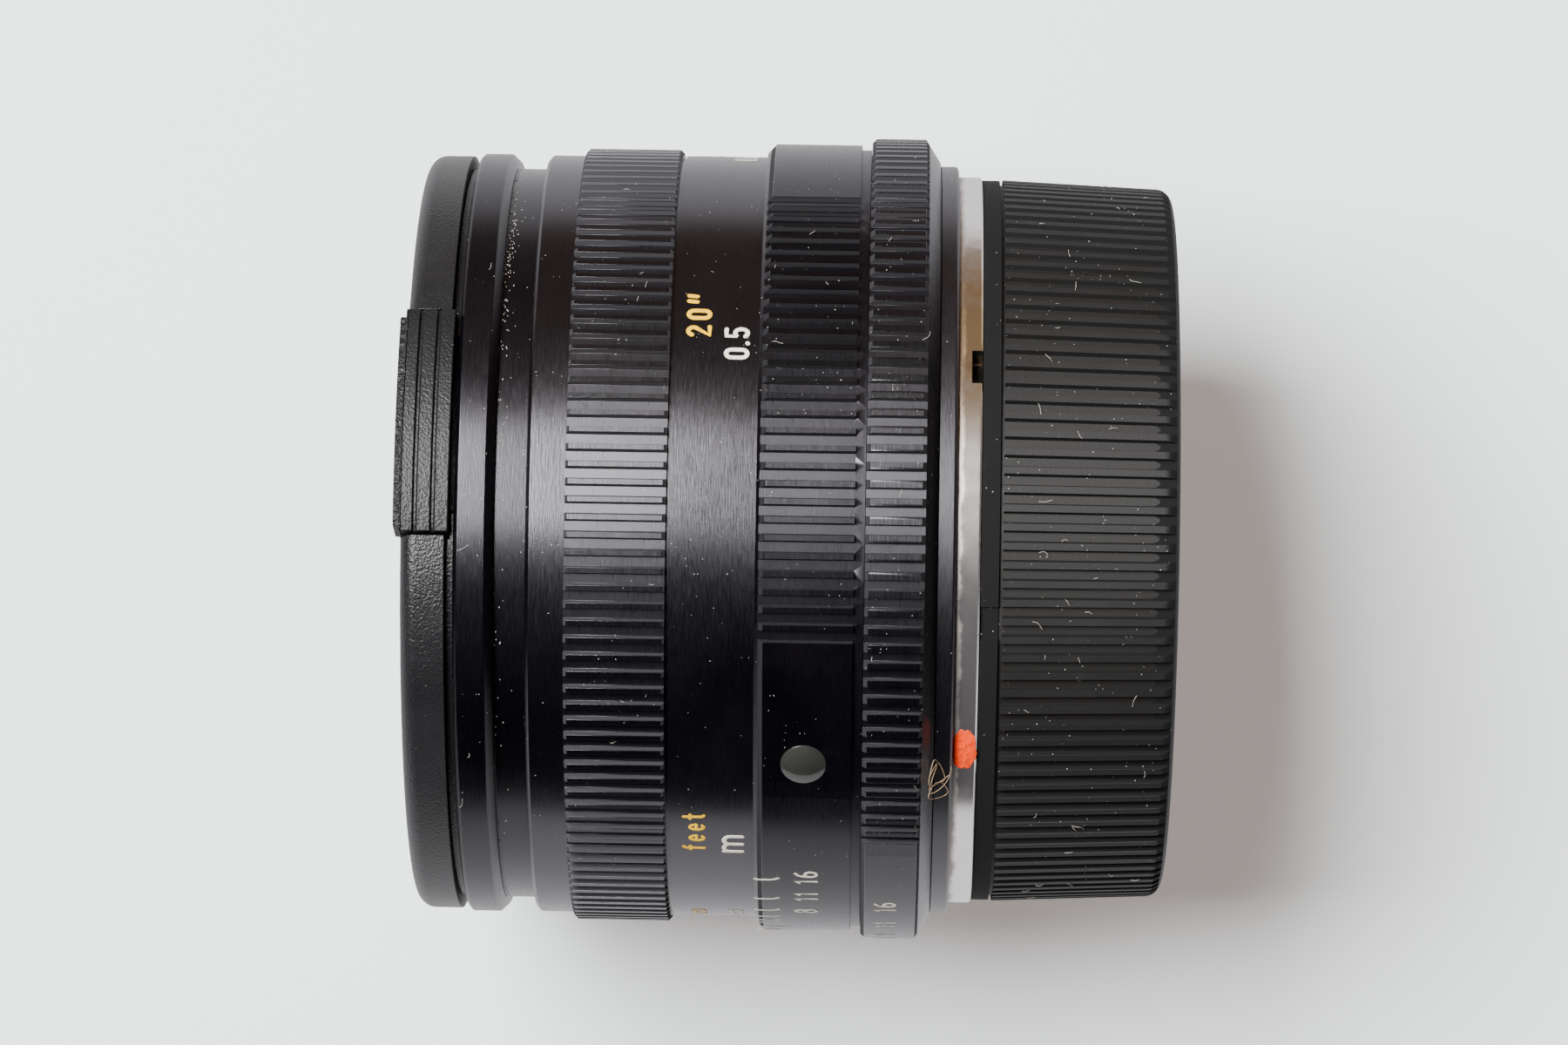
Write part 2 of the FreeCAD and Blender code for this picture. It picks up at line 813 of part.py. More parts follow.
def make_main_housing():
    housing = lathe([
        (housing_web_bore, collar_front),
        (journal_radius, collar_front),
        (journal_radius, depth_rear + depth_web),
        (thread_radius, depth_rear + depth_web),
        (thread_radius, housing_front),
        (housing_bore, housing_front),
        (housing_bore, housing_web_front),
        (housing_web_bore, housing_web_front),
    ])
    holes = on_screw_circle(screw_hole(screw_head_radius, screw_shank_radius, screw_length))
    coupler_slot = sector(
        housing_bore - tool_margin, journal_radius + tool_margin,
        housing_web_front, coupler_front + coupler_gap,
        bearing(coupler_station) + (aperture_turn_open - aperture_turn_closed) / 2,
        coupler_tab_span + aperture_turn + slot_side_gap,
    )
    ball_hole = Part.makeCylinder(
        click_ball_radius + running_fit, journal_radius - housing_bore + 2 * tool_margin,
        Vector(housing_bore - tool_margin, 0, click_height()), Vector(1, 0, 0),
    )
    leaf_recess = sector(
        housing_bore - tool_margin, click_leaf_radius() + seat_fit,
        click_height() - click_spring_width / 2 - seat_fit,
        click_height() + click_spring_width / 2 + seat_fit,
        0, click_spring_span + slot_side_gap,
    )
    cuts = holes + [coupler_slot, at_station(ball_hole, click_station)]
    cuts.append(at_station(leaf_recess, click_station))
    return housing.cut(cuts)


def click_ball_place():
    """Radius of the ball's centre, just clear of the plain wall between two detents."""
    wall = journal_radius + running_fit + aperture_groove_depth
    return wall - running_fit - click_ball_radius


def click_leaf_radius():
    """Outer radius of the leaf behind the ball."""
    return click_ball_place() - click_ball_radius - seat_fit


def make_click_ball():
    return at_station(
        Part.makeSphere(click_ball_radius, Vector(click_ball_place(), 0, click_height())), click_station,
    )


def make_click_spring():
    outer = click_leaf_radius()
    leaf = sector(
        outer - click_spring_thickness, outer,
        click_height() - click_spring_width / 2, click_height() + click_spring_width / 2,
        0, click_spring_span,
    )
    return at_station(leaf, click_station)


def make_aperture_ring():
    groove_rear, groove_front = aperture_groove()
    bore = journal_radius + running_fit
    wall = bore + aperture_groove_depth
    ring = lathe([
        (bore, aperture_rear),
        (aperture_radius - aperture_bevel_depth, aperture_rear),
        (aperture_radius, aperture_rear + aperture_bevel_height),
        (aperture_radius, aperture_front - aperture_front_edge),
        (aperture_radius - aperture_front_edge, aperture_front),
        (bore, aperture_front),
        (bore, groove_front),
        (wall, groove_front),
        (wall, groove_rear),
        (bore, groove_rear),
    ])
    cuts = knurl(
        aperture_radius, aperture_knurl_mouth, aperture_knurl_floor,
        aperture_rear, aperture_front + tool_margin,
        aperture_panel_end, 360.0 + aperture_panel_start,
    )
    cuts.append(sector(
        bore, wall + coupler_pocket_depth, groove_rear, groove_front,
        bearing(coupler_station), coupler_tab_span + 2 * seat_fit,
    ))
    detent = rod(detent_radius, wall, 0, groove_rear, groove_front)
    half_stops = 2 * aperture_stops
    for place in range(half_stops + 1):
        turn = place * stop_pitch / 2 - aperture_turn_open
        cuts.append(turned(at_station(detent, click_station), turn))
    return ring.cut(cuts)


def cam_middle():
    """Bearing of the meter cam's middle at rest."""
    return bearing(coupler_station) - cam_span


def make_aperture_coupler():
    outer = journal_radius + running_fit + aperture_groove_depth + coupler_pocket_depth - seat_fit
    here = bearing(coupler_station)
    tab = sector(coupler_fork_inner, outer, coupler_rear, coupler_front, here, coupler_tab_span)
    foot_span = cam_span + coupler_tab_span
    foot_middle = (cam_middle() - cam_span / 2 + here + coupler_tab_span / 2) / 2
    foot = sector(
        cam_inner, coupler_fork_outer, coupler_rear, coupler_front,
        foot_middle, foot_span + coupler_tab_span,
    )
    prong_middle = (finger_span + prong_span) / 2 + finger_play
    prongs = [
        sector(
            coupler_fork_inner, coupler_fork_outer, coupler_rear, coupler_front + prong_height,
            here + side * prong_middle, prong_span,
        )
        for side in (-1, 1)
    ]
    bridge = sector(
        cam_outer, coupler_fork_outer + 2 * finger_radial, coupler_rear, coupler_front,
        here, finger_span + 2 * prong_span + 2 * finger_play,
    )
    passage = sector(
        coupler_fork_inner - tool_margin, coupler_fork_outer + finger_radial / 2,
        coupler_rear - tool_margin, coupler_front + prong_height + tool_margin,
        here, finger_span + 2 * finger_play,
    )
    return tab.fuse([foot, bridge] + prongs).cut(passage).removeSplitter()


def make_meter_cam():
    """The stepped steel block that tells the camera which aperture is set."""
    rear = flange_seat - cam_reach
    top = coupler_rear - face_gap
    high = sector(cam_inner, cam_outer, rear, top, cam_middle() - cam_span / 4, cam_span / 2)
    low = sector(cam_inner, cam_outer, rear + cam_low_step, top, cam_middle() + cam_span / 4, cam_span / 2)
    return high.fuse(low).removeSplitter()


def make_depth_scale_ring():
    ring = lathe([
        (journal_radius + seat_fit, depth_rear),
        (depth_step_radius, depth_rear),
        (depth_step_radius, depth_rear + depth_step_width),
        (depth_radius, depth_rear + depth_step_width),
        (depth_radius, depth_front - depth_front_edge),
        (depth_radius - depth_front_edge, depth_front),
        (depth_bore, depth_front),
        (depth_bore, depth_rear + depth_web),
        (journal_radius + seat_fit, depth_rear + depth_web),
    ])
    rear = depth_rear + depth_step_width
    front = depth_front + tool_margin
    slot = (depth_radius, knurl_mouth, knurl_floor, rear, front)
    cuts = knurl(*slot, depth_back_end - 360.0, depth_panel_start)
    cuts += knurl(*slot, depth_panel_end, depth_back_start)
    socket = Part.makeCylinder(
        bead_radius + seat_fit, bead_depth + tool_margin,
        Vector(depth_radius - bead_depth - seat_fit, 0, bead_place()), Vector(1, 0, 0),
    )
    cuts.append(at_station(socket, bead_station))
    return ring.cut(cuts)


def bead_place():
    return depth_rear + bead_offset


def make_index_bead():
    """The domed bead that a finger finds when the lens is put on the camera."""
    dome_radius = (bead_radius ** 2 + bead_height ** 2) / (2 * bead_height)
    bottom = depth_radius - bead_depth
    barrel = Part.makeCylinder(
        bead_radius, bead_depth + bead_height, Vector(bottom, 0, bead_place()), Vector(1, 0, 0),
    )
    centre = depth_radius + bead_height - dome_radius
    dome = Part.makeSphere(dome_radius, Vector(centre, 0, bead_place()))
    return at_station(barrel.common(dome), bead_station)


def make_focus_ring():
    lip_bore = hood_outer + focus_lip_bore_play
    lip_shoulder = focus_front - focus_lip_thickness
    web_bore_here = barrel_rear_radius + running_fit
    ring = lathe([
        (focus_bore, focus_rear),
        (scale_radius, focus_rear),
        (scale_radius, grip_rear - grip_groove_width),
        (scale_radius - grip_groove_depth, grip_rear - grip_groove_width),
        (scale_radius - grip_groove_depth, grip_rear),
        (grip_radius - grip_edge, grip_rear),
        (grip_radius, grip_rear + grip_edge),
        (grip_radius, grip_front - grip_edge),
        (grip_radius - grip_edge, grip_front),
        (lip_radius, grip_front),
        (lip_radius, focus_front - lip_edge),
        (lip_radius - lip_edge, focus_front),
        (lip_bore, focus_front),
        (lip_bore, lip_shoulder),
        (focus_bore, lip_shoulder),
        (focus_bore, skirt_web_rear + skirt_web),
        (web_bore_here, skirt_web_rear + skirt_web),
        (web_bore_here, skirt_web_rear),
        (focus_bore, skirt_web_rear),
    ])
    tool = groove(
        grip_radius, grip_radius, grip_slot_depth, knurl_mouth, knurl_floor,
        grip_rear - tool_margin, grip_front + tool_margin,
    )
    pitch = 360.0 / knurl_count
    cuts = [at_station(tool, (place + 0.5) * pitch) for place in range(knurl_count)]
    screw_space = Part.makeCylinder(
        nut_screw_radius + seat_fit, focus_wall + tool_margin,
        Vector(focus_bore - tool_margin / 2, 0, nut_screw_height()), Vector(1, 0, 0),
    )
    cuts += around(screw_space, nut_screw_count)
    return ring.cut(cuts)


def around(shape, count):
    """Evenly spaced copies about the optical axis."""
    return [turned(shape, place * 360.0 / count) for place in range(count)]


def nut_screw_height():
    return focus_rear + nut_setback + nut_length / 2


def make_focus_nut():
    rear = focus_rear + nut_setback
    nut = tube(nut_bore, focus_bore - seat_fit, rear, rear + nut_length)
    hole = Part.makeCylinder(
        nut_screw_radius + seat_fit, focus_bore - nut_bore + tool_margin,
        Vector(nut_bore - tool_margin / 2, 0, nut_screw_height()), Vector(1, 0, 0),
    )
    return nut.cut(around(hole, nut_screw_count))


def make_nut_screws():
    screw = Part.makeCylinder(
        nut_screw_radius, scale_radius - nut_bore - 3 * seat_fit,
        Vector(nut_bore + seat_fit, 0, nut_screw_height()), Vector(1, 0, 0),
    )
    slot = box(
        (scale_radius - screw_slot, scale_radius + tool_margin),
        (-screw_slot / 4, screw_slot / 4),
        (nut_screw_height() - 1, nut_screw_height() + 1),
    )
    return Part.makeCompound(around(screw.cut(slot), nut_screw_count))


def key_bottom():
    return housing_front - key_length - key_inset


def make_lens_barrel():
    groove_front = barrel_front - felt_setback
    groove_rear = groove_front - felt_width
    barrel = lathe([
        (barrel_bore, barrel_rear),
        (barrel_rear_radius, barrel_rear),
        (barrel_rear_radius, barrel_shoulder),
        (barrel_front_radius, barrel_shoulder),
        (barrel_front_radius, groove_rear),
        (barrel_front_radius - felt_depth, groove_rear),
        (barrel_front_radius - felt_depth, groove_front),
        (barrel_front_radius, groove_front),
        (barrel_front_radius, filter_floor - face_gap),
        (barrel_bore, filter_floor - face_gap),
        (barrel_bore, barrel_web_front),
        (web_bore, barrel_web_front),
        (web_bore, barrel_web_rear),
        (barrel_bore, barrel_web_rear),
    ])
    half_slot = key_width / 2 + key_side_gap
    slot = at_station(
        box(
            (barrel_bore - tool_margin, barrel_rear_radius + tool_margin), (-half_slot, half_slot),
            (barrel_rear - tool_margin, key_bottom() + key_length + 4 * key_side_gap),
        ),
        key_station(),
    )
    return barrel.cut(slot)


def make_filter_ring():
    """The threaded ring at the mouth. Its thread is drawn as plain grooves."""
    outline = [
        (filter_bore, filter_floor),
        (barrel_front_radius, filter_floor),
        (barrel_front_radius, barrel_front - filter_edge),
        (barrel_front_radius - filter_edge, barrel_front),
        (filter_bore + filter_edge, barrel_front),
        (filter_bore, barrel_front - filter_edge),
    ]
    for place in range(thread_turns):
        crest = barrel_front - filter_edge - thread_pitch * (place + 0.5)
        outline.append((filter_bore, crest))
        outline.append((filter_bore + thread_depth, crest - thread_pitch / 2))
    outline.append((filter_bore, crest - thread_pitch))
    return lathe(outline)


def key_station():
    return coupler_station + 180.0


def make_focus_key():
    """The key on the housing that lets the barrel slide but not turn."""
    blank = box(
        (barrel_bore + key_side_gap, housing_bore), (-key_width / 2, key_width / 2),
        (key_bottom(), key_bottom() + key_length),
    )
    round_face = tube(
        barrel_bore, housing_bore - seat_fit, key_bottom() - tool_margin,
        key_bottom() + key_length + tool_margin,
    )
    return at_station(blank.common(round_face), key_station())


def make_hood_felt():
    front = barrel_front - felt_setback - face_gap
    inner = barrel_front_radius - felt_depth + seat_fit
    return tube(inner, hood_bore - running_fit, front - felt_width + 2 * face_gap, front)


def make_focus_retainer():
    inner = barrel_rear_radius + seat_fit
    return tube(inner, inner + retainer_height, retainer_rear, retainer_front)


def make_front_trim_ring():
    """A bare trim ring and the stepped cone that leads down to the front element."""
    bottom = front_cell_top() + face_gap
    cone_inner = front_ring_bore()
    run = (trim_flat_inner - cone_inner) / trim_steps
    rise = (trim_front - bottom) / trim_steps
    stairs = []
    for place in range(trim_steps):
        radius = cone_inner + place * run
        stairs.append((radius, bottom + place * rise))
        stairs.append((radius, bottom + (place + 1) * rise))
    stairs.append((trim_flat_inner, trim_front))
    back = [
        (filter_bore - seat_fit, trim_front),
        (filter_bore - seat_fit, filter_floor + face_gap),
        (trim_flat_inner + trim_wall, filter_floor + face_gap),
        (cone_inner + trim_wall, bottom),
    ]
    return lathe(stairs + back)


def front_ring_bore():
    return front_glass_radius + glass_fit + front_ring_width / 2


def front_cell_top():
    return surface(front_glass_front, front_glass_front_bow, front_glass_radius) + front_ring_height + 0.8


def make_front_cell():
    pair_back = surface(front_flint_back, front_flint_back_bow, front_flint_clear)
    glass_back = surface(front_glass_back, front_glass_back_bow, front_glass_radius)
    glass_front = surface(front_glass_front, front_glass_front_bow, front_glass_radius)
    pair_bore = front_pair_radius + glass_fit
    glass_bore = front_glass_radius + glass_fit
    rear = pair_back - cell_land
    return lathe([
        (front_flint_clear + cell_lip, rear),
        (front_cell_radius, rear),
        (front_cell_radius, barrel_web_front + face_gap),
        (front_cell_radius + front_cell_flange, barrel_web_front + face_gap),
        (front_cell_radius + front_cell_flange, barrel_web_front + front_cell_flange_thickness),
        (front_cell_radius, barrel_web_front + front_cell_flange_thickness),
        (front_cell_radius, front_cell_top()),
        (front_ring_bore(), front_cell_top()),
        (front_ring_bore(), glass_front + face_gap),
        (glass_bore, glass_front + face_gap),
        (glass_bore, glass_back - face_gap),
        (pair_bore, glass_back - face_gap),
        (pair_bore, pair_back - face_gap),
        (front_flint_clear + cell_lip, pair_back - face_gap),
    ])


def make_front_element():
    return lens_element(
        front_glass_back, front_glass_back_bow, front_glass_front, front_glass_front_bow,
        front_glass_radius,
    )


def make_front_crown():
    return lens_element(
        front_cement + cement, front_cement_bow, front_crown_front, front_crown_front_bow,
        front_pair_radius,
    )


def make_front_flint():
    return lens_element(
        front_flint_back, front_flint_back_bow, front_cement, front_cement_bow,
        front_pair_radius, back_clear=front_flint_clear,
    )


def make_rear_flint():
    return lens_element(
        rear_cement + cement, rear_cement_bow, rear_flint_front, rear_flint_front_bow,
        rear_pair_radius, front_clear=rear_flint_clear,
    )


def make_rear_crown():
    return lens_element(
        rear_crown_back, rear_crown_back_bow, rear_cement, rear_cement_bow, rear_pair_radius,
    )


def make_rear_element():
    return lens_element(
        rear_glass_back, rear_glass_back_bow, rear_glass_front, rear_glass_front_bow,
        rear_glass_radius,
    )


def make_front_spacer():
    """The ring that keeps the cemented pair and the front element apart."""
    outer = front_pair_radius
    inner = outer - spacer_wall
    rear = surface(front_crown_front, front_crown_front_bow, inner) + face_gap
    front = surface(front_glass_back, front_glass_back_bow, outer) - face_gap
    return tube(inner, outer, rear, front)


def make_front_retaining_ring():
    inner = front_glass_radius - front_ring_width / 2
    outer = front_ring_bore() - seat_fit
    rear = surface(front_glass_front, front_glass_front_bow, inner) + face_gap
    front = rear + front_ring_height - 0.3
    return lathe([(inner, rear), (outer, rear), (outer, front), (inner + 0.4, front)])


def make_rear_cell():
    glass_rear = surface(rear_glass_back, rear_glass_back_bow, rear_glass_radius)
    glass_land = surface(rear_glass_front, rear_glass_front_bow, rear_glass_radius - 0.6)
    pair_land = surface(rear_crown_back, rear_crown_back_bow, rear_pair_radius - cell_land)
    rear = glass_rear - cell_lip
    glass_bore = rear_glass_radius + glass_fit
    pair_bore = rear_pair_radius + glass_fit
    land = rear_pair_radius - cell_land
    return lathe([
        (glass_bore, rear),
        (rear_cell_radius - rear_cell_chamfer, rear),
        (rear_cell_radius, rear + rear_cell_chamfer),
        (rear_cell_radius, cell_flange_rear),
        (cell_flange_radius, cell_flange_rear),
        (cell_flange_radius, cell_flange_rear + cell_flange_thickness),
        (pair_bore, cell_flange_rear + cell_flange_thickness),
        (pair_bore, pair_land - face_gap),
        (land, pair_land - face_gap),
        (land, glass_land + face_gap),
        (glass_bore, glass_land + face_gap),
    ])


def make_rear_retaining_ring():
    outer = rear_glass_radius
    inner = outer - cell_lip
    front = surface(rear_glass_back, rear_glass_back_bow, outer) - face_gap
    top = surface(rear_glass_back, rear_glass_back_bow, inner) - face_gap
    bottom = front - rear_ring_height
    return lathe([(inner, bottom + 0.3), (inner + 0.3, bottom), (outer, bottom), (outer, top), (inner, top)])


def make_pair_retaining_ring():
    rear = surface(rear_flint_front, rear_flint_front_bow, rear_flint_clear) + face_gap
    return tube(rear_flint_clear + 0.4, rear_pair_radius + glass_fit - seat_fit, rear, rear + rear_ring_height)


def blade_angle(place):
    return place * 360.0 / blade_count


def pivot(place):
    angle = math.radians(blade_angle(place))
    return Vector(blade_pivot_radius * math.cos(angle), blade_pivot_radius * math.sin(angle), 0)


def drive_pin(swing):
    """Where the first blade's drive pin is, a swing away from fully open."""
    angle = math.radians(swing - blade_arm_lead)
    return blade_pivot_radius + blade_arm * math.sin(angle), -blade_arm * math.cos(angle)


def make_blade(place):
    """One crescent leaf with a pivot pin below it and a drive pin above it, in its rest position."""
    rear = blades_rear + place * blade_pitch
    front = rear + blade_thickness
    leaf = sector(
        iris_open_radius, blade_outer, rear, front, (blade_tip + blade_tail) / 2, blade_tip - blade_tail,
    )
    pin_x, pin_y = drive_pin(0)
    root = iris_open_radius + (blade_outer - iris_open_radius) / 2
    corners = [
        Vector(blade_pivot_radius + blade_lobe_radius, 0, rear),
        Vector(root, blade_arm, rear),
        Vector(root, pin_y, rear),
        Vector(pin_x + blade_lobe_radius * 0.8, pin_y - blade_lobe_radius * 0.4, rear),
    ]
    web = Part.Face(Part.makePolygon(corners + corners[:1])).extrude(Vector(0, 0, blade_thickness))
    lobes = [
        rod(blade_lobe_radius, blade_pivot_radius, 0, rear, front),
        rod(blade_lobe_radius, pin_x, pin_y, rear, front),
    ]
    pins = [
        rod(blade_pin_radius, blade_pivot_radius, 0, iris_rear + face_gap, front),
        rod(blade_pin_radius, pin_x, pin_y, rear, iris_ring_front),
    ]
    blade = leaf.fuse([web] + lobes + pins).removeSplitter()
    blade.rotate(Vector(blade_pivot_radius, 0, 0), AXIS, blade_rest)
    return turned(blade, blade_angle(place))


def make_iris_case():
    wall_front = barrel_web_rear - face_gap
    case = lathe([
        (iris_open_radius, iris_rear),
        (iris_outer, iris_rear),
        (iris_outer, wall_front),
        (iris_bore, wall_front),
        (iris_bore, iris_rear + iris_plate),
        (iris_open_radius, iris_rear + iris_plate),
    ])
    holes = []
    for place in range(blade_count):
        spot = pivot(place)
        holes.append(rod(
            blade_pin_radius + blade_pin_play, spot.x, spot.y,
            iris_rear - tool_margin, iris_rear + iris_plate + tool_margin,
        ))
    window = sector(
        iris_bore - tool_margin, iris_outer + tool_margin, iris_ring_rear - face_gap, cover_rear,
        bearing(finger_station) + (aperture_turn_open - aperture_turn_closed) / 2,
        finger_span + aperture_turn + slot_side_gap,
    )
    return case.cut(holes + [window])


def make_iris_cover():
    return tube(iris_open_radius + 1.2, iris_bore - seat_fit, cover_rear, cover_front)


def cam_slot():
    """The slot in the iris ring that the first blade's drive pin follows, at the ring's rest position."""
    width = blade_pin_radius + cam_slot_play
    path = []
    for place in range(cam_slot_points):
        share = -0.02 + 1.04 * place / (cam_slot_points - 1)
        swing = share * blade_swing
        x, y = drive_pin(swing)
        ring_turn = (blade_rest - swing) * aperture_turn / blade_swing
        angle = math.atan2(y, x) - math.radians(ring_turn)
        path.append((math.hypot(x, y), angle))
    edges = []
    inner = [Vector((r - width) * math.cos(a), (r - width) * math.sin(a), 0) for r, a in path]
    outer = [Vector((r + width) * math.cos(a), (r + width) * math.sin(a), 0) for r, a in path]
    for line in (inner, outer):
        curve = Part.BSplineCurve()
        curve.interpolate(line)
        edges.append(curve.toShape())
    edges.append(Part.LineSegment(inner[0], outer[0]).toShape())
    edges.append(Part.LineSegment(inner[-1], outer[-1]).toShape())
    wire = Part.Wire(Part.__sortEdges__(edges))
    slot = Part.Face(wire).extrude(Vector(0, 0, iris_ring_thickness + 2 * tool_margin))
    slot.translate(Vector(0, 0, iris_ring_rear - tool_margin))
    ends = [
        rod(
            width, r * math.cos(a), r * math.sin(a),
            iris_ring_rear - tool_margin, iris_ring_front + tool_margin,
        )
        for r, a in (path[0], path[-1])
    ]
    return [slot] + ends


def make_iris_ring():
    """The cam ring over the blades, with the finger that the aperture coupler pushes."""
    ring = tube(iris_ring_inner, iris_ring_outer, iris_ring_rear, iris_ring_front)
    cuts = []
    for place in range(blade_count):
        cuts += [turned(shape, blade_angle(place)) for shape in cam_slot()]
    ring = ring.cut(cuts)
    here = bearing(finger_station)
    middle = (coupler_fork_inner + coupler_fork_outer) / 2
    arm = sector(
        iris_ring_outer - seat_fit, middle + finger_radial / 2,
        iris_ring_rear, iris_ring_front, here, finger_span,
    )
    bottom = coupler_rear - coupler_gap - focus_travel * 0.2
    finger = sector(
        middle - finger_radial / 2, middle + finger_radial / 2, bottom, iris_ring_front,
        here, finger_span,
    )
    return ring.fuse([arm, finger]).removeSplitter()


def make_hood():
    return lathe([
        (hood_bore, hood_rear),
        (hood_lip_radius, hood_rear),
        (hood_lip_radius, hood_rear + hood_lip_height),
        (hood_outer, hood_rear + hood_lip_height),
        (hood_outer, hood_rim_rear),
        (hood_rim_radius - hood_rim_back_edge, hood_rim_rear),
        (hood_rim_radius, hood_rim_rear + hood_rim_back_edge),
        (hood_rim_radius, hood_front - hood_rim_front_edge),
        (hood_rim_radius - hood_rim_front_edge, hood_front),
        (hood_bore, hood_front),
    ])


cap_plate_rear = hood_front + cap_gap
cap_plate_front = cap_plate_rear + cap_plate_flange
cap_shell_rear = cap_plate_front + face_gap
cap_shell_front = cap_shell_rear + cap_shell_height
cap_cavity_front = cap_shell_front - cap_face_thickness
button_slot_inner = button_inner - button_travel - button_side_gap
button_rear = cap_plate_rear + button_setback


def both_sides(shape):
    """Two copies of a shape drawn on the +X side, at the two buttons."""
    return [at_station(shape, button_station), at_station(shape, button_station + 180.0)]


def make_front_cap_plate():
    spigot = hood_bore - cap_spigot_fit
    disc_rear = cap_plate_front - cap_plate_thickness
    spigot_rear = cap_plate_rear - cap_spigot_depth
    plate = lathe([
        (0, disc_rear),
        (spigot - cap_spigot_wall, disc_rear),
        (spigot - cap_spigot_wall, spigot_rear),
        (spigot, spigot_rear),
        (spigot, cap_plate_rear),
        (cap_plate_radius, cap_plate_rear),
        (cap_plate_radius, cap_plate_front),
        (0, cap_plate_front),
    ])
    tooth_inner = hood_bore - tooth_play - tooth_wall
    slot = box(
        (tooth_inner - button_travel - button_side_gap, cap_plate_radius + tool_margin),
        (-tooth_half_width - 2 * button_side_gap, tooth_half_width + 2 * button_side_gap),
        (spigot_rear - tool_margin, cap_plate_front + tool_margin),
    )
    half = button_half_width + button_side_gap
    pad_room = box(
        (button_slot_inner, cap_plate_radius + tool_margin), (-half, half),
        (button_rear - face_gap, cap_plate_front + tool_margin),
    )
    return plate.cut(both_sides(slot) + both_sides(pad_room))


def make_front_cap_shell():
    inner = cap_shell_radius - cap_shell_wall
    corner = (cap_shell_radius, cap_shell_front)
    start, middle, end = round_corner(corner, cap_face_corner, (0, -1), (-1, 0))
    outline = [
        start, end,
        (0, cap_shell_front),
        (0, cap_cavity_front),
        (inner, cap_cavity_front),
        (inner, cap_shell_rear),
        (cap_shell_radius, cap_shell_rear),
    ]
    shell = lathe_rounded(outline, 0, middle)
    half = button_half_width + button_side_gap
    opening = box(
        (button_slot_inner, cap_shell_radius + tool_margin), (-half, half),
        (cap_shell_rear - tool_margin, cap_shell_front + tool_margin),
    )
    shell = shell.cut(both_sides(opening))
    ear_outer = button_inner - button_floor_depth + button_ear_length
    stops = []
    for side in (-1, 1):
        near = side * half
        far = side * (half + button_ear)
        stops.append(box(
            (ear_outer + button_side_gap, ear_outer + button_side_gap + button_ear_length),
            (min(near, far), max(near, far)), (cap_shell_rear + face_gap, cap_cavity_front),
        ))
    boss = box(
        (0, cap_boss_half_length), (-cap_boss_half_width, cap_boss_half_width),
        (cap_shell_rear + face_gap, cap_cavity_front),
    )
    fittings = both_sides(boss)
    for stop in stops:
        fittings += both_sides(stop)
    return shell.fuse(fittings).removeSplitter()


def make_cap_button():
    """One pinch button: a ribbed pad with a raised top, a tongue, two ears and a tooth."""
    pad_rear = button_rear
    pad_front = cap_shell_front + button_overhang
    disc = Part.makeCylinder(button_radius, pad_front - pad_rear, Vector(0, 0, pad_rear), AXIS)
    outer = button_radius + tool_margin
    half = button_half_width
    pad = box((button_inner, outer), (-half, half), (pad_rear, pad_front)).common(disc)
    rib = (pad_front - pad_rear - button_grooves * button_groove_width) / (button_grooves + 1)
    for place in range(button_grooves):
        bottom = pad_rear + rib * (place + 1) + button_groove_width * place
        pad = pad.cut(tube(
            button_radius - button_groove_depth, button_radius + tool_margin,
            bottom, bottom + button_groove_width,
        ))
    relief_disc = Part.makeCylinder(
        button_radius - button_relief_margin, button_relief, Vector(0, 0, pad_front), AXIS,
    )
    relief_half = half - button_relief_margin
    relief = box(
        (button_inner + button_relief_margin, outer), (-relief_half, relief_half),
        (pad_front, pad_front + button_relief),
    ).common(relief_disc)
    floor_rear = cap_shell_rear + 2 * face_gap
    floor_front = cap_cavity_front - 2 * face_gap
    floor_inner = button_inner - button_floor_depth
    floor = box(
        (floor_inner, button_inner + button_side_gap), (-half + button_side_gap, half - button_side_gap),
        (floor_rear, floor_front),
    )
    ear_half = half + button_ear - button_side_gap
    ears = box(
        (floor_inner, floor_inner + button_ear_length), (-ear_half, ear_half), (floor_rear, floor_front),
    )
    tongue = box(
        (tongue_inner, floor_inner + button_side_gap), (-tongue_half_width, tongue_half_width),
        (floor_rear, floor_front),
    )
    tooth_outer = hood_bore - tooth_play
    tooth_rear = cap_plate_rear - tooth_height
    tooth_ring = tube(tooth_outer - tooth_wall, tooth_outer, tooth_rear, floor_front)
    tooth_box = box(
        (tooth_outer - tooth_wall - 1, outer), (-tooth_half_width, tooth_half_width),
        (tooth_rear, pad_rear + face_gap),
    )
    tooth = tooth_box.common(Part.makeCylinder(tooth_outer, pad_front, CENTRE, AXIS))
    tooth = tooth.cut(box(
        (0, tooth_outer - tooth_wall), (-outer, outer), (tooth_rear - 1, pad_rear + 1),
    ))
    return pad.fuse([relief, floor, ears, tongue, tooth]).removeSplitter()


def make_cap_spring():
    start = cap_boss_half_length + spring_play
    end = tongue_inner - spring_play
    bottom = cap_shell_rear + 4 * face_gap
    top = cap_cavity_front - 4 * face_gap
    return serpentine(start, end, spring_bars, spring_half_width, bottom, top)


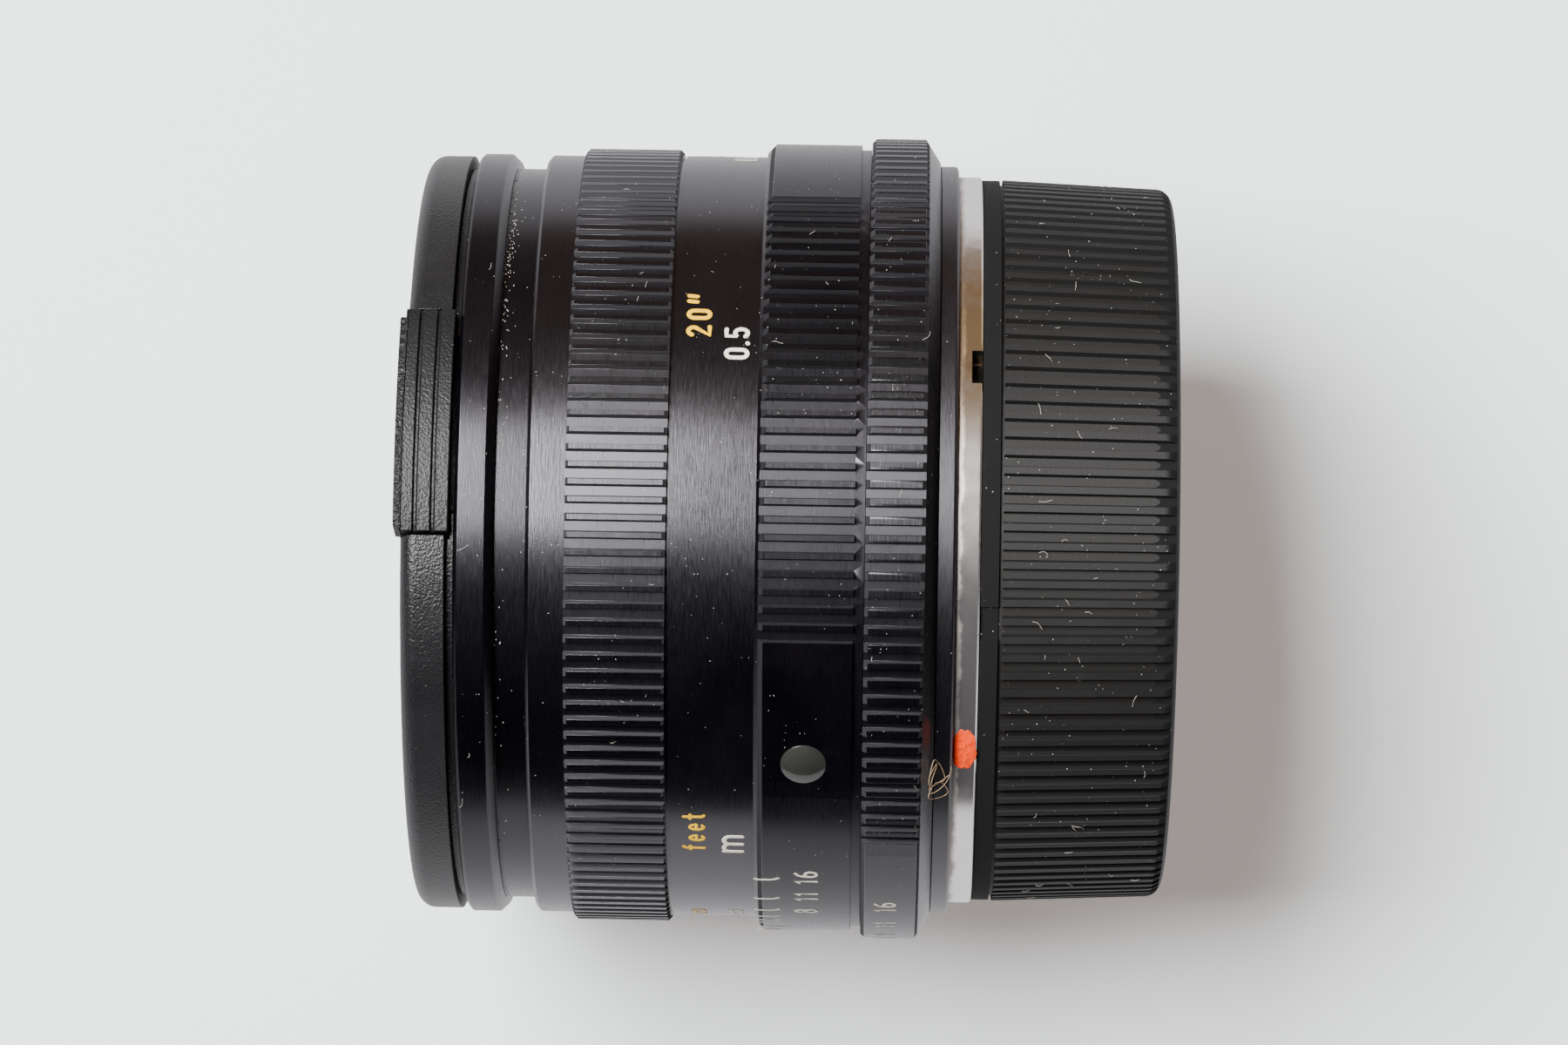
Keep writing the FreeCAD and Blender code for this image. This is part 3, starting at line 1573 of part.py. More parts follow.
nodes = {
    "rear_cap": make_rear_cap(),
    "bayonet_flange": make_bayonet_flange(),
    "flange_screws": make_flange_screws(),
    "rear_baffle": make_rear_baffle(),
    "rear_collar": make_rear_collar(),
    "stop_down_ring": make_stop_down_ring(),
    "stop_down_spring": make_stop_down_spring(),
    "main_housing": make_main_housing(),
    "click_ball": make_click_ball(),
    "click_spring": make_click_spring(),
    "aperture_ring": make_aperture_ring(),
    "aperture_coupler": make_aperture_coupler(),
    "meter_cam": make_meter_cam(),
    "depth_scale_ring": make_depth_scale_ring(),
    "index_bead": make_index_bead(),
    "focus_ring": make_focus_ring(),
    "focus_nut": make_focus_nut(),
    "nut_screws": make_nut_screws(),
    "focus_retainer": make_focus_retainer(),
    "focus_key": make_focus_key(),
    "lens_barrel": make_lens_barrel(),
    "filter_ring": make_filter_ring(),
    "hood_felt": make_hood_felt(),
    "front_trim_ring": make_front_trim_ring(),
    "front_cell": make_front_cell(),
    "front_element": make_front_element(),
    "front_crown": make_front_crown(),
    "front_flint": make_front_flint(),
    "front_spacer": make_front_spacer(),
    "front_retaining_ring": make_front_retaining_ring(),
    "rear_cell": make_rear_cell(),
    "rear_flint": make_rear_flint(),
    "rear_crown": make_rear_crown(),
    "rear_element": make_rear_element(),
    "rear_retaining_ring": make_rear_retaining_ring(),
    "pair_retaining_ring": make_pair_retaining_ring(),
    "iris_case": make_iris_case(),
    "iris_cover": make_iris_cover(),
    "iris_ring": make_iris_ring(),
    "hood": make_hood(),
    "front_cap_plate": make_front_cap_plate(),
    "front_cap_shell": make_front_cap_shell(),
}
for blade in range(blade_count):
    nodes["iris_blade_" + str(blade + 1)] = make_blade(blade)
for letter, shape in zip("ab", both_sides(make_cap_button())):
    nodes["cap_button_" + letter] = shape
for letter, shape in zip("ab", both_sides(make_cap_spring())):
    nodes["cap_spring_" + letter] = shape

for name, shape in nodes.items():
    shape.exportStep("parts/" + name + ".step")
    print(name, len(shape.Solids), shape.isValid(), round(shape.Volume, 2))
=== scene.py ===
# %% [markdown]
# # A manual focus lens on a pale table
# A lens barrel is a stack of turned rings round one axis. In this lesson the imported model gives
# every ring its size and place. Blender adds what makes the rings look real: fine bevels that
# catch the light, turned and anodised surfaces, painted marks, dust, and the table it lies on.
# The axis is Z, the front of the lens is up, and the photograph is taken along +Y.

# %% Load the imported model
import json
import math
import random
import bpy
from mathutils import Euler, Matrix, Vector, noise


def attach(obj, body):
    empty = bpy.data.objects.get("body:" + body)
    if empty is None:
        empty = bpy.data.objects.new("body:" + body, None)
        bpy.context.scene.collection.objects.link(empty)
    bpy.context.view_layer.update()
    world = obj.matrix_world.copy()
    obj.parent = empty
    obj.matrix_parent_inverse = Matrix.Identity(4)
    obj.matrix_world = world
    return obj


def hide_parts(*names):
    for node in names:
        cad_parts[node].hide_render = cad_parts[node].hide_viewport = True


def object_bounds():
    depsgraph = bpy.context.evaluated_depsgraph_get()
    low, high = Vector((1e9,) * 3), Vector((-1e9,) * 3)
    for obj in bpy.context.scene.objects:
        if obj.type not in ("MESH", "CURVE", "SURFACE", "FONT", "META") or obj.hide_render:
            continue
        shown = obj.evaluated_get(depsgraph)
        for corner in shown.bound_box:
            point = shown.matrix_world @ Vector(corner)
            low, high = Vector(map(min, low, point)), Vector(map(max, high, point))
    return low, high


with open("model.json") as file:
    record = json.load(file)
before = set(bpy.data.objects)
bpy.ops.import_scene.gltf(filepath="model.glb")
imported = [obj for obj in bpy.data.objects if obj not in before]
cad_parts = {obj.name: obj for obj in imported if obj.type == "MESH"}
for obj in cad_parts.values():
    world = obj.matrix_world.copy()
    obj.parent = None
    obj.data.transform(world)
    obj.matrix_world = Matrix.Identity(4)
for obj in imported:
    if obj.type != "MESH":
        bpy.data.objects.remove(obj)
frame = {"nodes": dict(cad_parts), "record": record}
cad_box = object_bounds()
mm = 0.001
nodes = frame["nodes"]
slot_of = {part["node"]: part["material_slot"] for part in frame["record"]["subparts"]}
bodies = frame["record"]["behaviour"]["bodies"]
body_of = {node: body for body, members in bodies.items() for node in members}
bpy.ops.object.select_all(action="DESELECT")

# %% [markdown]
# ## The camera
# The lens lies on its side and the camera looks down on it from half a metre, a little towards
# the rear end. A long focal length keeps the rings almost parallel. The place and the turn were
# found by fitting nine ring edges, so they are typed in as numbers.

# %% Put the camera where the photograph was taken
camera_place = (0.00118984, -0.51402876, 0.02288167)
camera_turn = (135.94808413, 88.66978137, 45.94036681)
camera = bpy.data.objects.new("camera", bpy.data.cameras.new("camera"))
bpy.context.collection.objects.link(camera)
camera.location = camera_place
camera.rotation_euler = Euler([math.radians(angle) for angle in camera_turn])
camera.data.lens = 142.6
camera.data.sensor_width = 36.0
camera.data.clip_start = 0.01
bpy.context.scene.camera = camera
print("camera at", tuple(round(c, 3) for c in camera.location))

# %% [markdown]
# ## Building materials with nodes
# Every finish here is a small network of nodes. Typing each link in full would hide the idea,
# so short helpers do the wiring. One adds a node and plugs its inputs, and the others add a sum,
# a range or a blend of colours with it.

# %% Helpers for nodes
def plug(tree, socket, value):
    """Link an input to another node's output, or type a plain value into it."""
    if isinstance(value, bpy.types.NodeSocket):
        tree.links.new(value, socket)
    else:
        socket.default_value = value


def put(tree, kind, feeds=None, **settings):
    """Add a shader node, set its properties and plug its inputs."""
    node = tree.nodes.new("ShaderNode" + kind)
    for name, value in settings.items():
        setattr(node, name, value)
    for socket, value in (feeds or {}).items():
        plug(tree, node.inputs[socket], value)
    return node


def calc(tree, operation, *values):
    """Add a Math node and give its result."""
    return put(tree, "Math", dict(enumerate(values)), operation=operation).outputs[0]


def plus(tree, first, second):
    """The sum of two values."""
    return calc(tree, "ADD", first, second)


def times(tree, first, second):
    """The product of two values."""
    return calc(tree, "MULTIPLY", first, second)


def between(tree, value, low, high):
    """One where a value lies between two limits, and zero elsewhere."""
    return times(tree, calc(tree, "GREATER_THAN", value, low), calc(tree, "LESS_THAN", value, high))


def ramp(tree, value, low, high, to_low=0.0, to_high=1.0):
    """Bring a value from one range into another, with soft ends."""
    feeds = {"Value": value, "From Min": low, "From Max": high, "To Min": to_low, "To Max": to_high}
    return put(tree, "MapRange", feeds, interpolation_type="SMOOTHSTEP").outputs["Result"]


def mix(tree, share, first, second):
    """Blend two colours by a share."""
    return put(tree, "Mix", {0: share, 6: first, 7: second}, data_type="RGBA").outputs[2]


node_helpers = (plug, put, calc, plus, times, between, ramp, mix)
print("node helpers:", ", ".join(helper.__name__ for helper in node_helpers))

# %% [markdown]
# ## Effects that materials share
# A node group is an effect that many materials can use, each with its own settings. One helper
# starts a group, and another places it in a material's tree.

# %% Helpers for node groups
def open_group(name, inputs, outputs):
    """Start a node group; each input is a name and a value."""
    tree = bpy.data.node_groups.new(name, "ShaderNodeTree")
    for label, value in inputs.items():
        socket = tree.interface.new_socket(label, in_out="INPUT", socket_type="NodeSocketFloat")
        socket.default_value = value
    for label in outputs:
        tree.interface.new_socket(label, in_out="OUTPUT", socket_type="NodeSocketFloat")
    return tree, tree.nodes.new("NodeGroupInput").outputs, tree.nodes.new("NodeGroupOutput").inputs


def use(tree, group, **values):
    """Place a group in a tree; a value may be a number or a socket."""
    node = tree.nodes.new("ShaderNodeGroup")
    node.node_tree = group
    for label, value in values.items():
        plug(tree, node.inputs[label.replace("_", " ")], value)
    return node.outputs


print("group helpers:", open_group.__name__, "and", use.__name__)

# %% [markdown]
# ## Coordinates that suit a turned part
# On a lathe, a place is a distance from the axis, a height along it and an angle round it.
# The first group turns the object's own coordinates into those three, in millimetres and
# degrees. All the other groups start from it, so a pattern follows the rings at any pose.

# %% Group: barrel coordinates
labels = ("Radius", "Height", "Station", "Across", "Along")
coordinates, _, ends = open_group("Barrel coordinates", {}, labels)
place = put(coordinates, "TexCoord").outputs["Object"]
scaled = put(coordinates, "VectorMath", {0: place, 3: 1.0 / mm}, operation="SCALE").outputs[0]
x, y, z = put(coordinates, "SeparateXYZ", {0: scaled}).outputs
squares = plus(coordinates, times(coordinates, x, x), times(coordinates, y, y))
radius = calc(coordinates, "SQRT", squares)
turned = calc(coordinates, "ARCTAN2", times(coordinates, x, -1.0), times(coordinates, y, -1.0))
station = calc(coordinates, "DEGREES", turned)
for label, socket in zip(labels, (radius, z, station, x, y)):
    coordinates.links.new(socket, ends[label])


def in_mm(tree):
    """The object's own place in millimetres, for patterns that don't run round the axis."""
    at = use(tree, coordinates)
    feeds = {"X": at["Across"], "Y": at["Along"], "Z": at["Height"]}
    return put(tree, "CombineXYZ", feeds).outputs[0]


print("group:", coordinates.name)

# %% [markdown]
# ## Turned lines
# A cutting tool leaves fine rings that run round the part. They are noise that changes quickly
# along the height and the radius, and hardly at all round the axis. The same lines can feed a
# Bump node and vary the roughness.

# %% Group: turned lines
wander = 0.8
turning, given, ends = open_group("Turned lines", {"Lines per mm": 12.0}, ("Lines",))
at = use(turning, coordinates)
vector = put(turning, "CombineXYZ", {
    "X": times(turning, plus(turning, at["Height"], at["Radius"]), given["Lines per mm"]),
    "Y": times(turning, at["Across"], wander),
    "Z": times(turning, at["Along"], wander),
}).outputs[0]
feeds = {"Vector": vector, "Scale": 1.0, "Detail": 2.0, "Roughness": 0.6}
turning.links.new(put(turning, "TexNoise", feeds).outputs["Fac"], ends["Lines"])
print("group:", turning.name)

# %% [markdown]
# ## Dust
# A used lens carries pale specks. Each speck is the middle of a Voronoi cell, kept only where the
# cell's own random colour falls below a share. The cells are about a third of a millimetre wide.
# A cloud of noise raises and lowers the share, so the specks gather in patches.

# %% Group: dust
cells_per_mm = 3.4
speck_reach = 0.11
clouds_per_mm = 0.22
dust, given, ends = open_group("Dust", {"Amount": 0.03}, ("Specks",))
spot = in_mm(dust)
cells = put(dust, "TexVoronoi", {"Vector": spot, "Scale": cells_per_mm, "Randomness": 1.0})
chance = put(dust, "SeparateColor", {0: cells.outputs["Color"]}).outputs
cloud = put(dust, "TexNoise", {"Vector": spot, "Scale": clouds_per_mm, "Detail": 3.0}).outputs["Fac"]
share = times(dust, given["Amount"], ramp(dust, cloud, 0.38, 0.68, 0.25, 2.4))
kept = calc(dust, "LESS_THAN", chance[0], share)
size = times(dust, speck_reach, plus(dust, chance[1], 0.4))
near = calc(dust, "LESS_THAN", cells.outputs["Distance"], size)
dust.links.new(times(dust, kept, near), ends["Specks"])
print("group:", dust.name)

# %% [markdown]
# ## Grain
# Anodised metal and moulded plastic are never quite smooth. Two sizes of noise on the object's
# own coordinates give the grain that breaks a highlight into a fine sparkle, and slow smudges
# that fingers leave behind.

# %% Group: grain
inputs = {"Grain per mm": 8.0, "Smudges per mm": 0.12}
grain, given, ends = open_group("Surface grain", inputs, ("Grain", "Smudges"))
spot = in_mm(grain)
small = put(grain, "TexNoise", {"Vector": spot, "Scale": given["Grain per mm"], "Detail": 2.0})
feeds = {"Vector": spot, "Scale": given["Smudges per mm"], "Detail": 5.0, "Roughness": 0.65}
large = put(grain, "TexNoise", feeds)
grain.links.new(small.outputs["Fac"], ends["Grain"])
grain.links.new(large.outputs["Fac"], ends["Smudges"])
print("group:", grain.name)

# %% [markdown]
# ## Starting a material
# Each finish ends in one Principled shader. What stays the same all over is typed on its
# sockets, and colour, roughness and normal come from the groups. A roughness is given by its
# middle value and by how far each noise swings it.

# %% Helpers for materials
dust_rgb = (0.42, 0.40, 0.37, 1.0)
dust_rough = 0.9
tool_mark = 0.02 * mm


def new_material(name, **fixed):
    """A material with one Principled shader, whose fixed values are typed on its sockets."""
    material = bpy.data.materials.new(name)
    material.use_nodes = True
    shader = material.node_tree.nodes["Principled BSDF"]
    for label, value in fixed.items():
        shader.inputs[label.replace("_", " ")].default_value = value
    return material, material.node_tree, shader


def set_colour(tree, shader, colour):
    """Feed the shader's base colour."""
    tree.links.new(colour, shader.inputs["Base Color"])


def set_roughness(tree, shader, value):
    """Feed the shader's roughness."""
    tree.links.new(value, shader.inputs["Roughness"])


def uneven(tree, middle, *swings):
    """A roughness about a middle value; each swing is a noise and how far it reaches."""
    total = middle - sum(reach for _, reach in swings) / 2
    for value, reach in swings:
        total = plus(tree, times(tree, value, reach), total)
    return total


def bump(tree, shader, height, strength, distance, under=None):
    """Feed the shader's normal from a height, on top of another bump if there is one."""
    feeds = {"Height": height, "Strength": strength, "Distance": distance}
    if under is not None:
        feeds["Normal"] = under
    result = put(tree, "Bump", feeds).outputs["Normal"]
    tree.links.new(result, shader.inputs["Normal"])
    return result


def tinted(rgb, tint):
    """A colour times a tint, kept opaque."""
    return tuple(part * share for part, share in zip(rgb[:3], tint)) + (1.0,)


material_helpers = (new_material, set_colour, set_roughness, uneven, bump, tinted)
print("material helpers:", ", ".join(helper.__name__ for helper in material_helpers))

# %% [markdown]
# ## Black anodised rings
# The rings are aluminium with a satin black skin. The skin is nearly black with a trace of
# violet, and almost all that is seen of it is reflected light. So the base colour stays dark,
# and the finish is in the roughness, the grain, the turned lines and the dust. In the knurling
# the groove floors are duller than the lands, and the walls are left rough by the cutter, so two
# masks find them by their radius.

# %% Material: black anodised
black_rgb = (0.0005, 0.0004, 0.0012, 1.0)
worn_rgb = (0.0020, 0.0014, 0.0026, 1.0)
violet_tint = (0.97, 0.94, 1.0, 1.0)
edge_margin = 0.05
floor_duller = 0.07
wall_rough = 0.85


def anodised(name, lines, middle, specks, knurl=None, index=1.80):
    """Satin black skin with turned lines and dust; knurl is the floor's and the land's radius."""
    material, tree, shader = new_material(name, Specular_Tint=violet_tint, IOR=index)
    turned_lines = use(tree, turning, Lines_per_mm=lines)["Lines"]
    grains = use(tree, grain, Grain_per_mm=9.0)
    speck = use(tree, dust, Amount=specks)["Specks"]
    base = mix(tree, ramp(tree, grains["Smudges"], 0.35, 0.75), black_rgb, worn_rgb)
    set_colour(tree, shader, mix(tree, speck, base, dust_rgb))
    rough = uneven(tree, middle, (turned_lines, 0.16), (grains["Smudges"], 0.08))
    rough = calc(tree, "MAXIMUM", rough, times(tree, speck, dust_rough))
    if knurl is not None:
        floor, land = knurl
        radius = use(tree, coordinates)["Radius"]
        deep = between(tree, radius, floor - 0.02, land - edge_margin)
        wall = between(tree, radius, floor + edge_margin, land - edge_margin)
        rough = plus(tree, rough, times(tree, deep, floor_duller))
        rough = calc(tree, "MAXIMUM", rough, times(tree, wall, wall_rough))
    set_roughness(tree, shader, rough)
    first = bump(tree, shader, turned_lines, 0.20, tool_mark)
    bump(tree, shader, grains["Grain"], 0.07, tool_mark, first)
    return material


materials = {
    "collar": anodised("black_collar", 8.0, 0.33, 0.05),
    "aperture_ring": anodised("black_aperture_ring", 9.0, 0.26, 0.10, (32.55, 33.00), 1.68),
    "depth_ring": anodised("black_depth_ring", 9.0, 0.24, 0.10, (32.00, 32.45), 1.52),
    "focus_ring": anodised("black_focus_ring", 9.0, 0.23, 0.07, (31.40, 31.85)),
    "hood": anodised("black_hood", 9.0, 0.25, 0.05, index=1.54),
    "lens_barrel": anodised("black_barrel", 5.0, 0.28, 0.10),
    "trim_ring": anodised("black_trim_ring", 7.0, 0.36, 0.04),
}
print("anodised finishes:", len(materials))

# %% [markdown]
# ## Chromed flange
# The flange that locks onto the camera is brass with a satin chrome skin. A warm reflection of the
# room is painted on one side, in patches, and handling leaves brown dirt along its front corner.
# The metal is a bright colour with a Metallic near one, and masks built from the height and the
# station colour it. The notch for the lock pin is deep, so its shade is painted: it is almost black.

# %% Material: satin chrome
chrome_rgb = (0.90, 0.87, 0.84, 1.0)
warm_reflection_rgb = (0.66, 0.49, 0.29, 1.0)
dirt_rgb = (0.23, 0.15, 0.10, 1.0)
notch_shade_rgb = (0.012, 0.011, 0.010, 1.0)
brown_speck_rgb = (0.25, 0.2, 0.15, 1.0)
warm_reflection_station = -33.0
notch_station = -26.6
notch_half_width = 3.4
notch_radius = 29.85
notch_rear = 15.3
corner_start, corner_end = 17.55, 18.15

material, tree, shader = new_material("satin_chrome", IOR=1.5)
at = use(tree, coordinates)
grains = use(tree, grain, Grain_per_mm=7.0, Smudges_per_mm=0.3)
ragged_height = plus(tree, at["Height"], times(tree, grains["Smudges"], 1.3))
front_corner = ramp(tree, ragged_height, corner_start, corner_end)
# Painted reflection: a warm tone where the flange faces the warm side of the room, broken into patches
# by the smudges.
from_warm_reflection = calc(tree, "ABSOLUTE", plus(tree, at["Station"], -warm_reflection_station))
warm = times(tree, ramp(tree, from_warm_reflection, 22.0, 8.0), ramp(tree, grains["Smudges"], 0.2, 0.55))
# Painted shade: the deep notch for the lock pin is coloured almost black and made not metallic.
from_notch = calc(tree, "ABSOLUTE", plus(tree, at["Station"], -notch_station))
in_notch = calc(tree, "LESS_THAN", from_notch, notch_half_width)
in_notch = times(tree, in_notch, calc(tree, "LESS_THAN", at["Radius"], notch_radius))
in_notch = times(tree, in_notch, calc(tree, "GREATER_THAN", at["Height"], notch_rear))
chrome = mix(tree, warm, chrome_rgb, warm_reflection_rgb)
chrome = mix(tree, times(tree, front_corner, 0.55), chrome, dirt_rgb)
chrome = mix(tree, in_notch, chrome, notch_shade_rgb)
speck = use(tree, dust, Amount=0.03)["Specks"]
set_colour(tree, shader, mix(tree, speck, chrome, brown_speck_rgb))
metal = calc(tree, "SUBTRACT", 0.95, times(tree, front_corner, 0.35))
metal = times(tree, metal, calc(tree, "SUBTRACT", 1.0, in_notch))
tree.links.new(metal, shader.inputs["Metallic"])
rough = uneven(tree, 0.18, (grains["Smudges"], 0.14))
set_roughness(tree, shader, plus(tree, rough, times(tree, front_corner, 0.25)))
flange_lines = use(tree, turning, Lines_per_mm=14.0)["Lines"]
bump(tree, shader, flange_lines, 0.12, tool_mark)
materials["flange"] = material
print("flange finish:", material.name)

# %% [markdown]
# ## Moulded caps
# Both caps are black plastic. The rear one is dull and dusty from lying about, and its ribs taper
# with the wall. Its groove walls have painted shade, almost black, and the groove floors are a
# lighter brown grey. The front one has a spark-eroded grain and a soft shine, and the tops of its
# buttons are stippled. One function makes all three, with other values.

# %% Material: moulded plastic
rib_foot_radius = 29.143
rib_taper = 0.044
rib_depth = 0.45
rib_floor_rgb = (0.0078, 0.0066, 0.0056, 1.0)
rib_wall_shade_rgb = (0.0004, 0.0004, 0.0004, 1.0)
stipple_from = 60.75


def rib_masks(tree):
    """Where the rear cap's grooves have their floor and their walls, by the depth under the ribs."""
    at = use(tree, coordinates)
    land = plus(tree, times(tree, at["Height"], rib_taper), rib_foot_radius)
    sunk = calc(tree, "SUBTRACT", land, at["Radius"])
    floor = between(tree, sunk, rib_depth - edge_margin, rib_depth + edge_margin)
    return floor, between(tree, sunk, edge_margin, rib_depth - edge_margin)


def moulded(name, rgb, middle, grain_size, grain_depth, specks, shine, ribbed=False, stippled=False):
    """Black plastic with grain, smudges and dust, and perhaps ribs with painted shade in their grooves,
    or a stippled top.
    """
    material, tree, shader = new_material(name, Specular_IOR_Level=shine)
    grains = use(tree, grain, Grain_per_mm=grain_size, Smudges_per_mm=0.09)
    speck = use(tree, dust, Amount=specks)["Specks"]
    base = mix(tree, ramp(tree, grains["Smudges"], 0.3, 0.8), rgb, tinted(rgb, (1.9, 1.9, 1.9)))
    rough = uneven(tree, middle, (grains["Smudges"], 0.14))
    if ribbed:
        floor, wall = rib_masks(tree)
        # Painted shade: the groove walls are coloured almost black; the floors get a lighter brown
        # grey.
        base = mix(tree, wall, mix(tree, floor, base, rib_floor_rgb), rib_wall_shade_rgb)
        rough = calc(tree, "MAXIMUM", rough, times(tree, wall, 0.9))
    set_colour(tree, shader, mix(tree, speck, base, dust_rgb))
    set_roughness(tree, shader, calc(tree, "MAXIMUM", rough, times(tree, speck, dust_rough)))
    first = bump(tree, shader, grains["Grain"], grain_depth, 0.1 * mm)
    if stippled:
        height = use(tree, coordinates)["Height"]
        stipple = use(tree, grain, Grain_per_mm=3.0)["Grain"]
        pads = times(tree, stipple, ramp(tree, height, stipple_from, stipple_from + 0.08))
        bump(tree, shader, pads, 1.0, 0.3 * mm, first)
    return material


rear_rgb = (0.0062, 0.0057, 0.0055, 1.0)
front_rgb = (0.0075, 0.0075, 0.0082, 1.0)
button_rgb = (0.0066, 0.0066, 0.0070, 1.0)
caps = {
    "rear_cap": moulded("rear_cap_plastic", rear_rgb, 0.58, 6.0, 0.14, 0.12, 0.36, ribbed=True),
    "front_cap": moulded("front_cap_plastic", front_rgb, 0.34, 5.0, 0.62, 0.03, 0.46),
    "cap_button": moulded("cap_button_plastic", button_rgb, 0.38, 5.0, 0.50, 0.04, 0.28, stippled=True),
}
materials.update(caps)
print("moulded finishes:", len(caps))

# %% [markdown]
# ## Metal inside the lens
# With the caps pulled off, the inner parts come into view. Plain machined metals share one
# function: a colour, how metallic it is, and its polish, with faint tool lines.

# %% Materials: machined metal
def machined(name, rgb, metallic, middle):
    """A turned or milled metal with faint tool lines and uneven polish."""
    material, tree, shader = new_material(name, Metallic=metallic)
    turned_lines = use(tree, turning, Lines_per_mm=8.0)["Lines"]
    grains = use(tree, grain)
    set_colour(tree, shader, mix(tree, grains["Smudges"], rgb, tinted(rgb, (0.75, 0.75, 0.75))))
    set_roughness(tree, shader, uneven(tree, middle, (grains["Smudges"], 0.2)))
    bump(tree, shader, turned_lines, 0.15, tool_mark)
    return material


metals = {
    "housing": machined("dark_anodised", (0.03, 0.03, 0.034, 1.0), 0.0, 0.42),
    "inner_black": machined("optical_black", (0.009, 0.009, 0.009, 1.0), 0.0, 0.6),
    "brass": machined("turned_brass", (0.70, 0.50, 0.24, 1.0), 1.0, 0.32),
    "steel": machined("turned_steel", (0.58, 0.57, 0.55, 1.0), 1.0, 0.30),
    "spring_steel": machined("spring_strip", (0.42, 0.41, 0.40, 1.0), 1.0, 0.35),
    "iris_blade": machined("blackened_blade", (0.05, 0.05, 0.055, 1.0), 0.6, 0.38),
}
materials.update(metals)
print("machined finishes:", len(metals))

# %% [markdown]
# ## Felt, glass and the index bead
# A felt band holds the hood by friction, so it gets fuzz and a sheen. The glass is a clear
# Principled shader with a thin violet coating, which only needs fixed values on its sockets. The
# index bead is a dark resin whose cloudy roughness keeps the reflection in it soft.

# %% Material: felt
material, tree, shader = new_material("felt_band", Sheen_Weight=0.4, Sheen_Roughness=0.5)
fuzz = use(tree, grain, Grain_per_mm=14.0)["Grain"]
set_colour(tree, shader, mix(tree, fuzz, (0.012, 0.012, 0.014, 1.0), (0.035, 0.035, 0.038, 1.0)))
set_roughness(tree, shader, ramp(tree, fuzz, 0.2, 0.8, 0.75, 0.95))
bump(tree, shader, fuzz, 0.8, 0.1 * mm)
materials["felt"] = material
print("felt finish:", material.name)

# %% Material: coated glass
material, tree, shader = new_material("coated_glass", Transmission_Weight=1.0, IOR=1.6, Coat_Weight=0.6,
                                      Coat_Roughness=0.02, Coat_Tint=(0.85, 0.75, 1.0, 1.0))
haze = use(tree, grain, Smudges_per_mm=0.2)["Smudges"]
set_colour(tree, shader, mix(tree, haze, (0.97, 0.96, 0.99, 1.0), (0.90, 0.88, 0.95, 1.0)))
set_roughness(tree, shader, ramp(tree, haze, 0.3, 0.8, 0.0, 0.03))
materials["glass"] = material
print("glass finish:", material.name)

# %% Material: bead resin
material, tree, shader = new_material("bead_resin", Coat_Weight=0.3, IOR=1.52)
cloudy = use(tree, grain, Grain_per_mm=3.0, Smudges_per_mm=0.6)["Smudges"]
set_colour(tree, shader, mix(tree, cloudy, (0.018, 0.018, 0.016, 1.0), (0.034, 0.034, 0.030, 1.0)))
set_roughness(tree, shader, ramp(tree, cloudy, 0.3, 0.7, 0.10, 0.22))
bump(tree, shader, cloudy, 0.15, 0.1 * mm)
materials["index_bead"] = material
print("finishes in all:", len(materials))

# %% [markdown]
# ## Giving every node its finish
# The record names a material slot for each node. The loop puts the matching finish on each
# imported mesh. The meshes themselves stay as they are.

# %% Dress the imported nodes
for name, node in nodes.items():
    node.data.materials.clear()
    node.data.materials.append(materials[slot_of[name]])
print("dressed:", len(nodes))

# %% [markdown]
# ## Fine bevels on the outer rings
# No machined edge is perfectly sharp, and it is the narrow bevels on the knurling that flash in
# the light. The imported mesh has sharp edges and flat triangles. So each outer ring is copied,
# its points are merged, its flat triangles are joined into clean faces, and a Bevel modifier
# rounds every edge: by a few hundredths of a millimetre on metal, and by more on the moulded
# caps. A second modifier weights the normals by face size, so the wide faces stay flat. The
# copy then stands for the node.

# %% Bevelled copies of the outer rings
merge_reach = 0.001 * mm
flat_angle = math.radians(0.5)
edge_angle = math.radians(28.0)


def add_object(name, data):
    """Put new data in the scene as the selected and active object."""
    piece = bpy.data.objects.new(name, data)
    bpy.context.collection.objects.link(piece)
    bpy.context.view_layer.objects.active = piece
    piece.select_set(True)
    return piece


def bevelled_copy(name, width):
    """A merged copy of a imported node, with rounded edges, that takes the node's place."""
    piece = add_object(name + "_edged", nodes[name].data.copy())
    bpy.ops.object.mode_set(mode="EDIT")
    bpy.ops.mesh.select_all(action="SELECT")
    bpy.ops.mesh.remove_doubles(threshold=merge_reach)
    bpy.ops.mesh.dissolve_limited(angle_limit=flat_angle)
    bpy.ops.object.mode_set(mode="OBJECT")
    bpy.ops.object.shade_smooth_by_angle(angle=edge_angle)
    modifier = piece.modifiers.new("edge", "BEVEL")
    modifier.width = width * mm
    modifier.segments = 2
    modifier.limit_method = "ANGLE"
    modifier.angle_limit = edge_angle
    bpy.ops.object.modifier_apply(modifier=modifier.name)
    modifier = piece.modifiers.new("shading", "WEIGHTED_NORMAL")
    modifier.keep_sharp = True
    modifier.weight = 100
    bpy.ops.object.modifier_apply(modifier=modifier.name)
    piece.select_set(False)
    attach(piece, body_of[name])
    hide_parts(name)
    print(piece.name, len(piece.data.polygons), "faces")


edge_widths = {
    "rear_cap": 0.12, "bayonet_flange": 0.04, "rear_collar": 0.05, "aperture_ring": 0.03,
    "depth_scale_ring": 0.03, "focus_ring": 0.03, "hood": 0.06, "front_cap_plate": 0.05,
    "front_cap_shell": 0.16, "cap_button_a": 0.09, "cap_button_b": 0.09, "front_trim_ring": 0.04,
    "index_bead": 0.02,
}
for name, width in edge_widths.items():
    bevelled_copy(name, width)

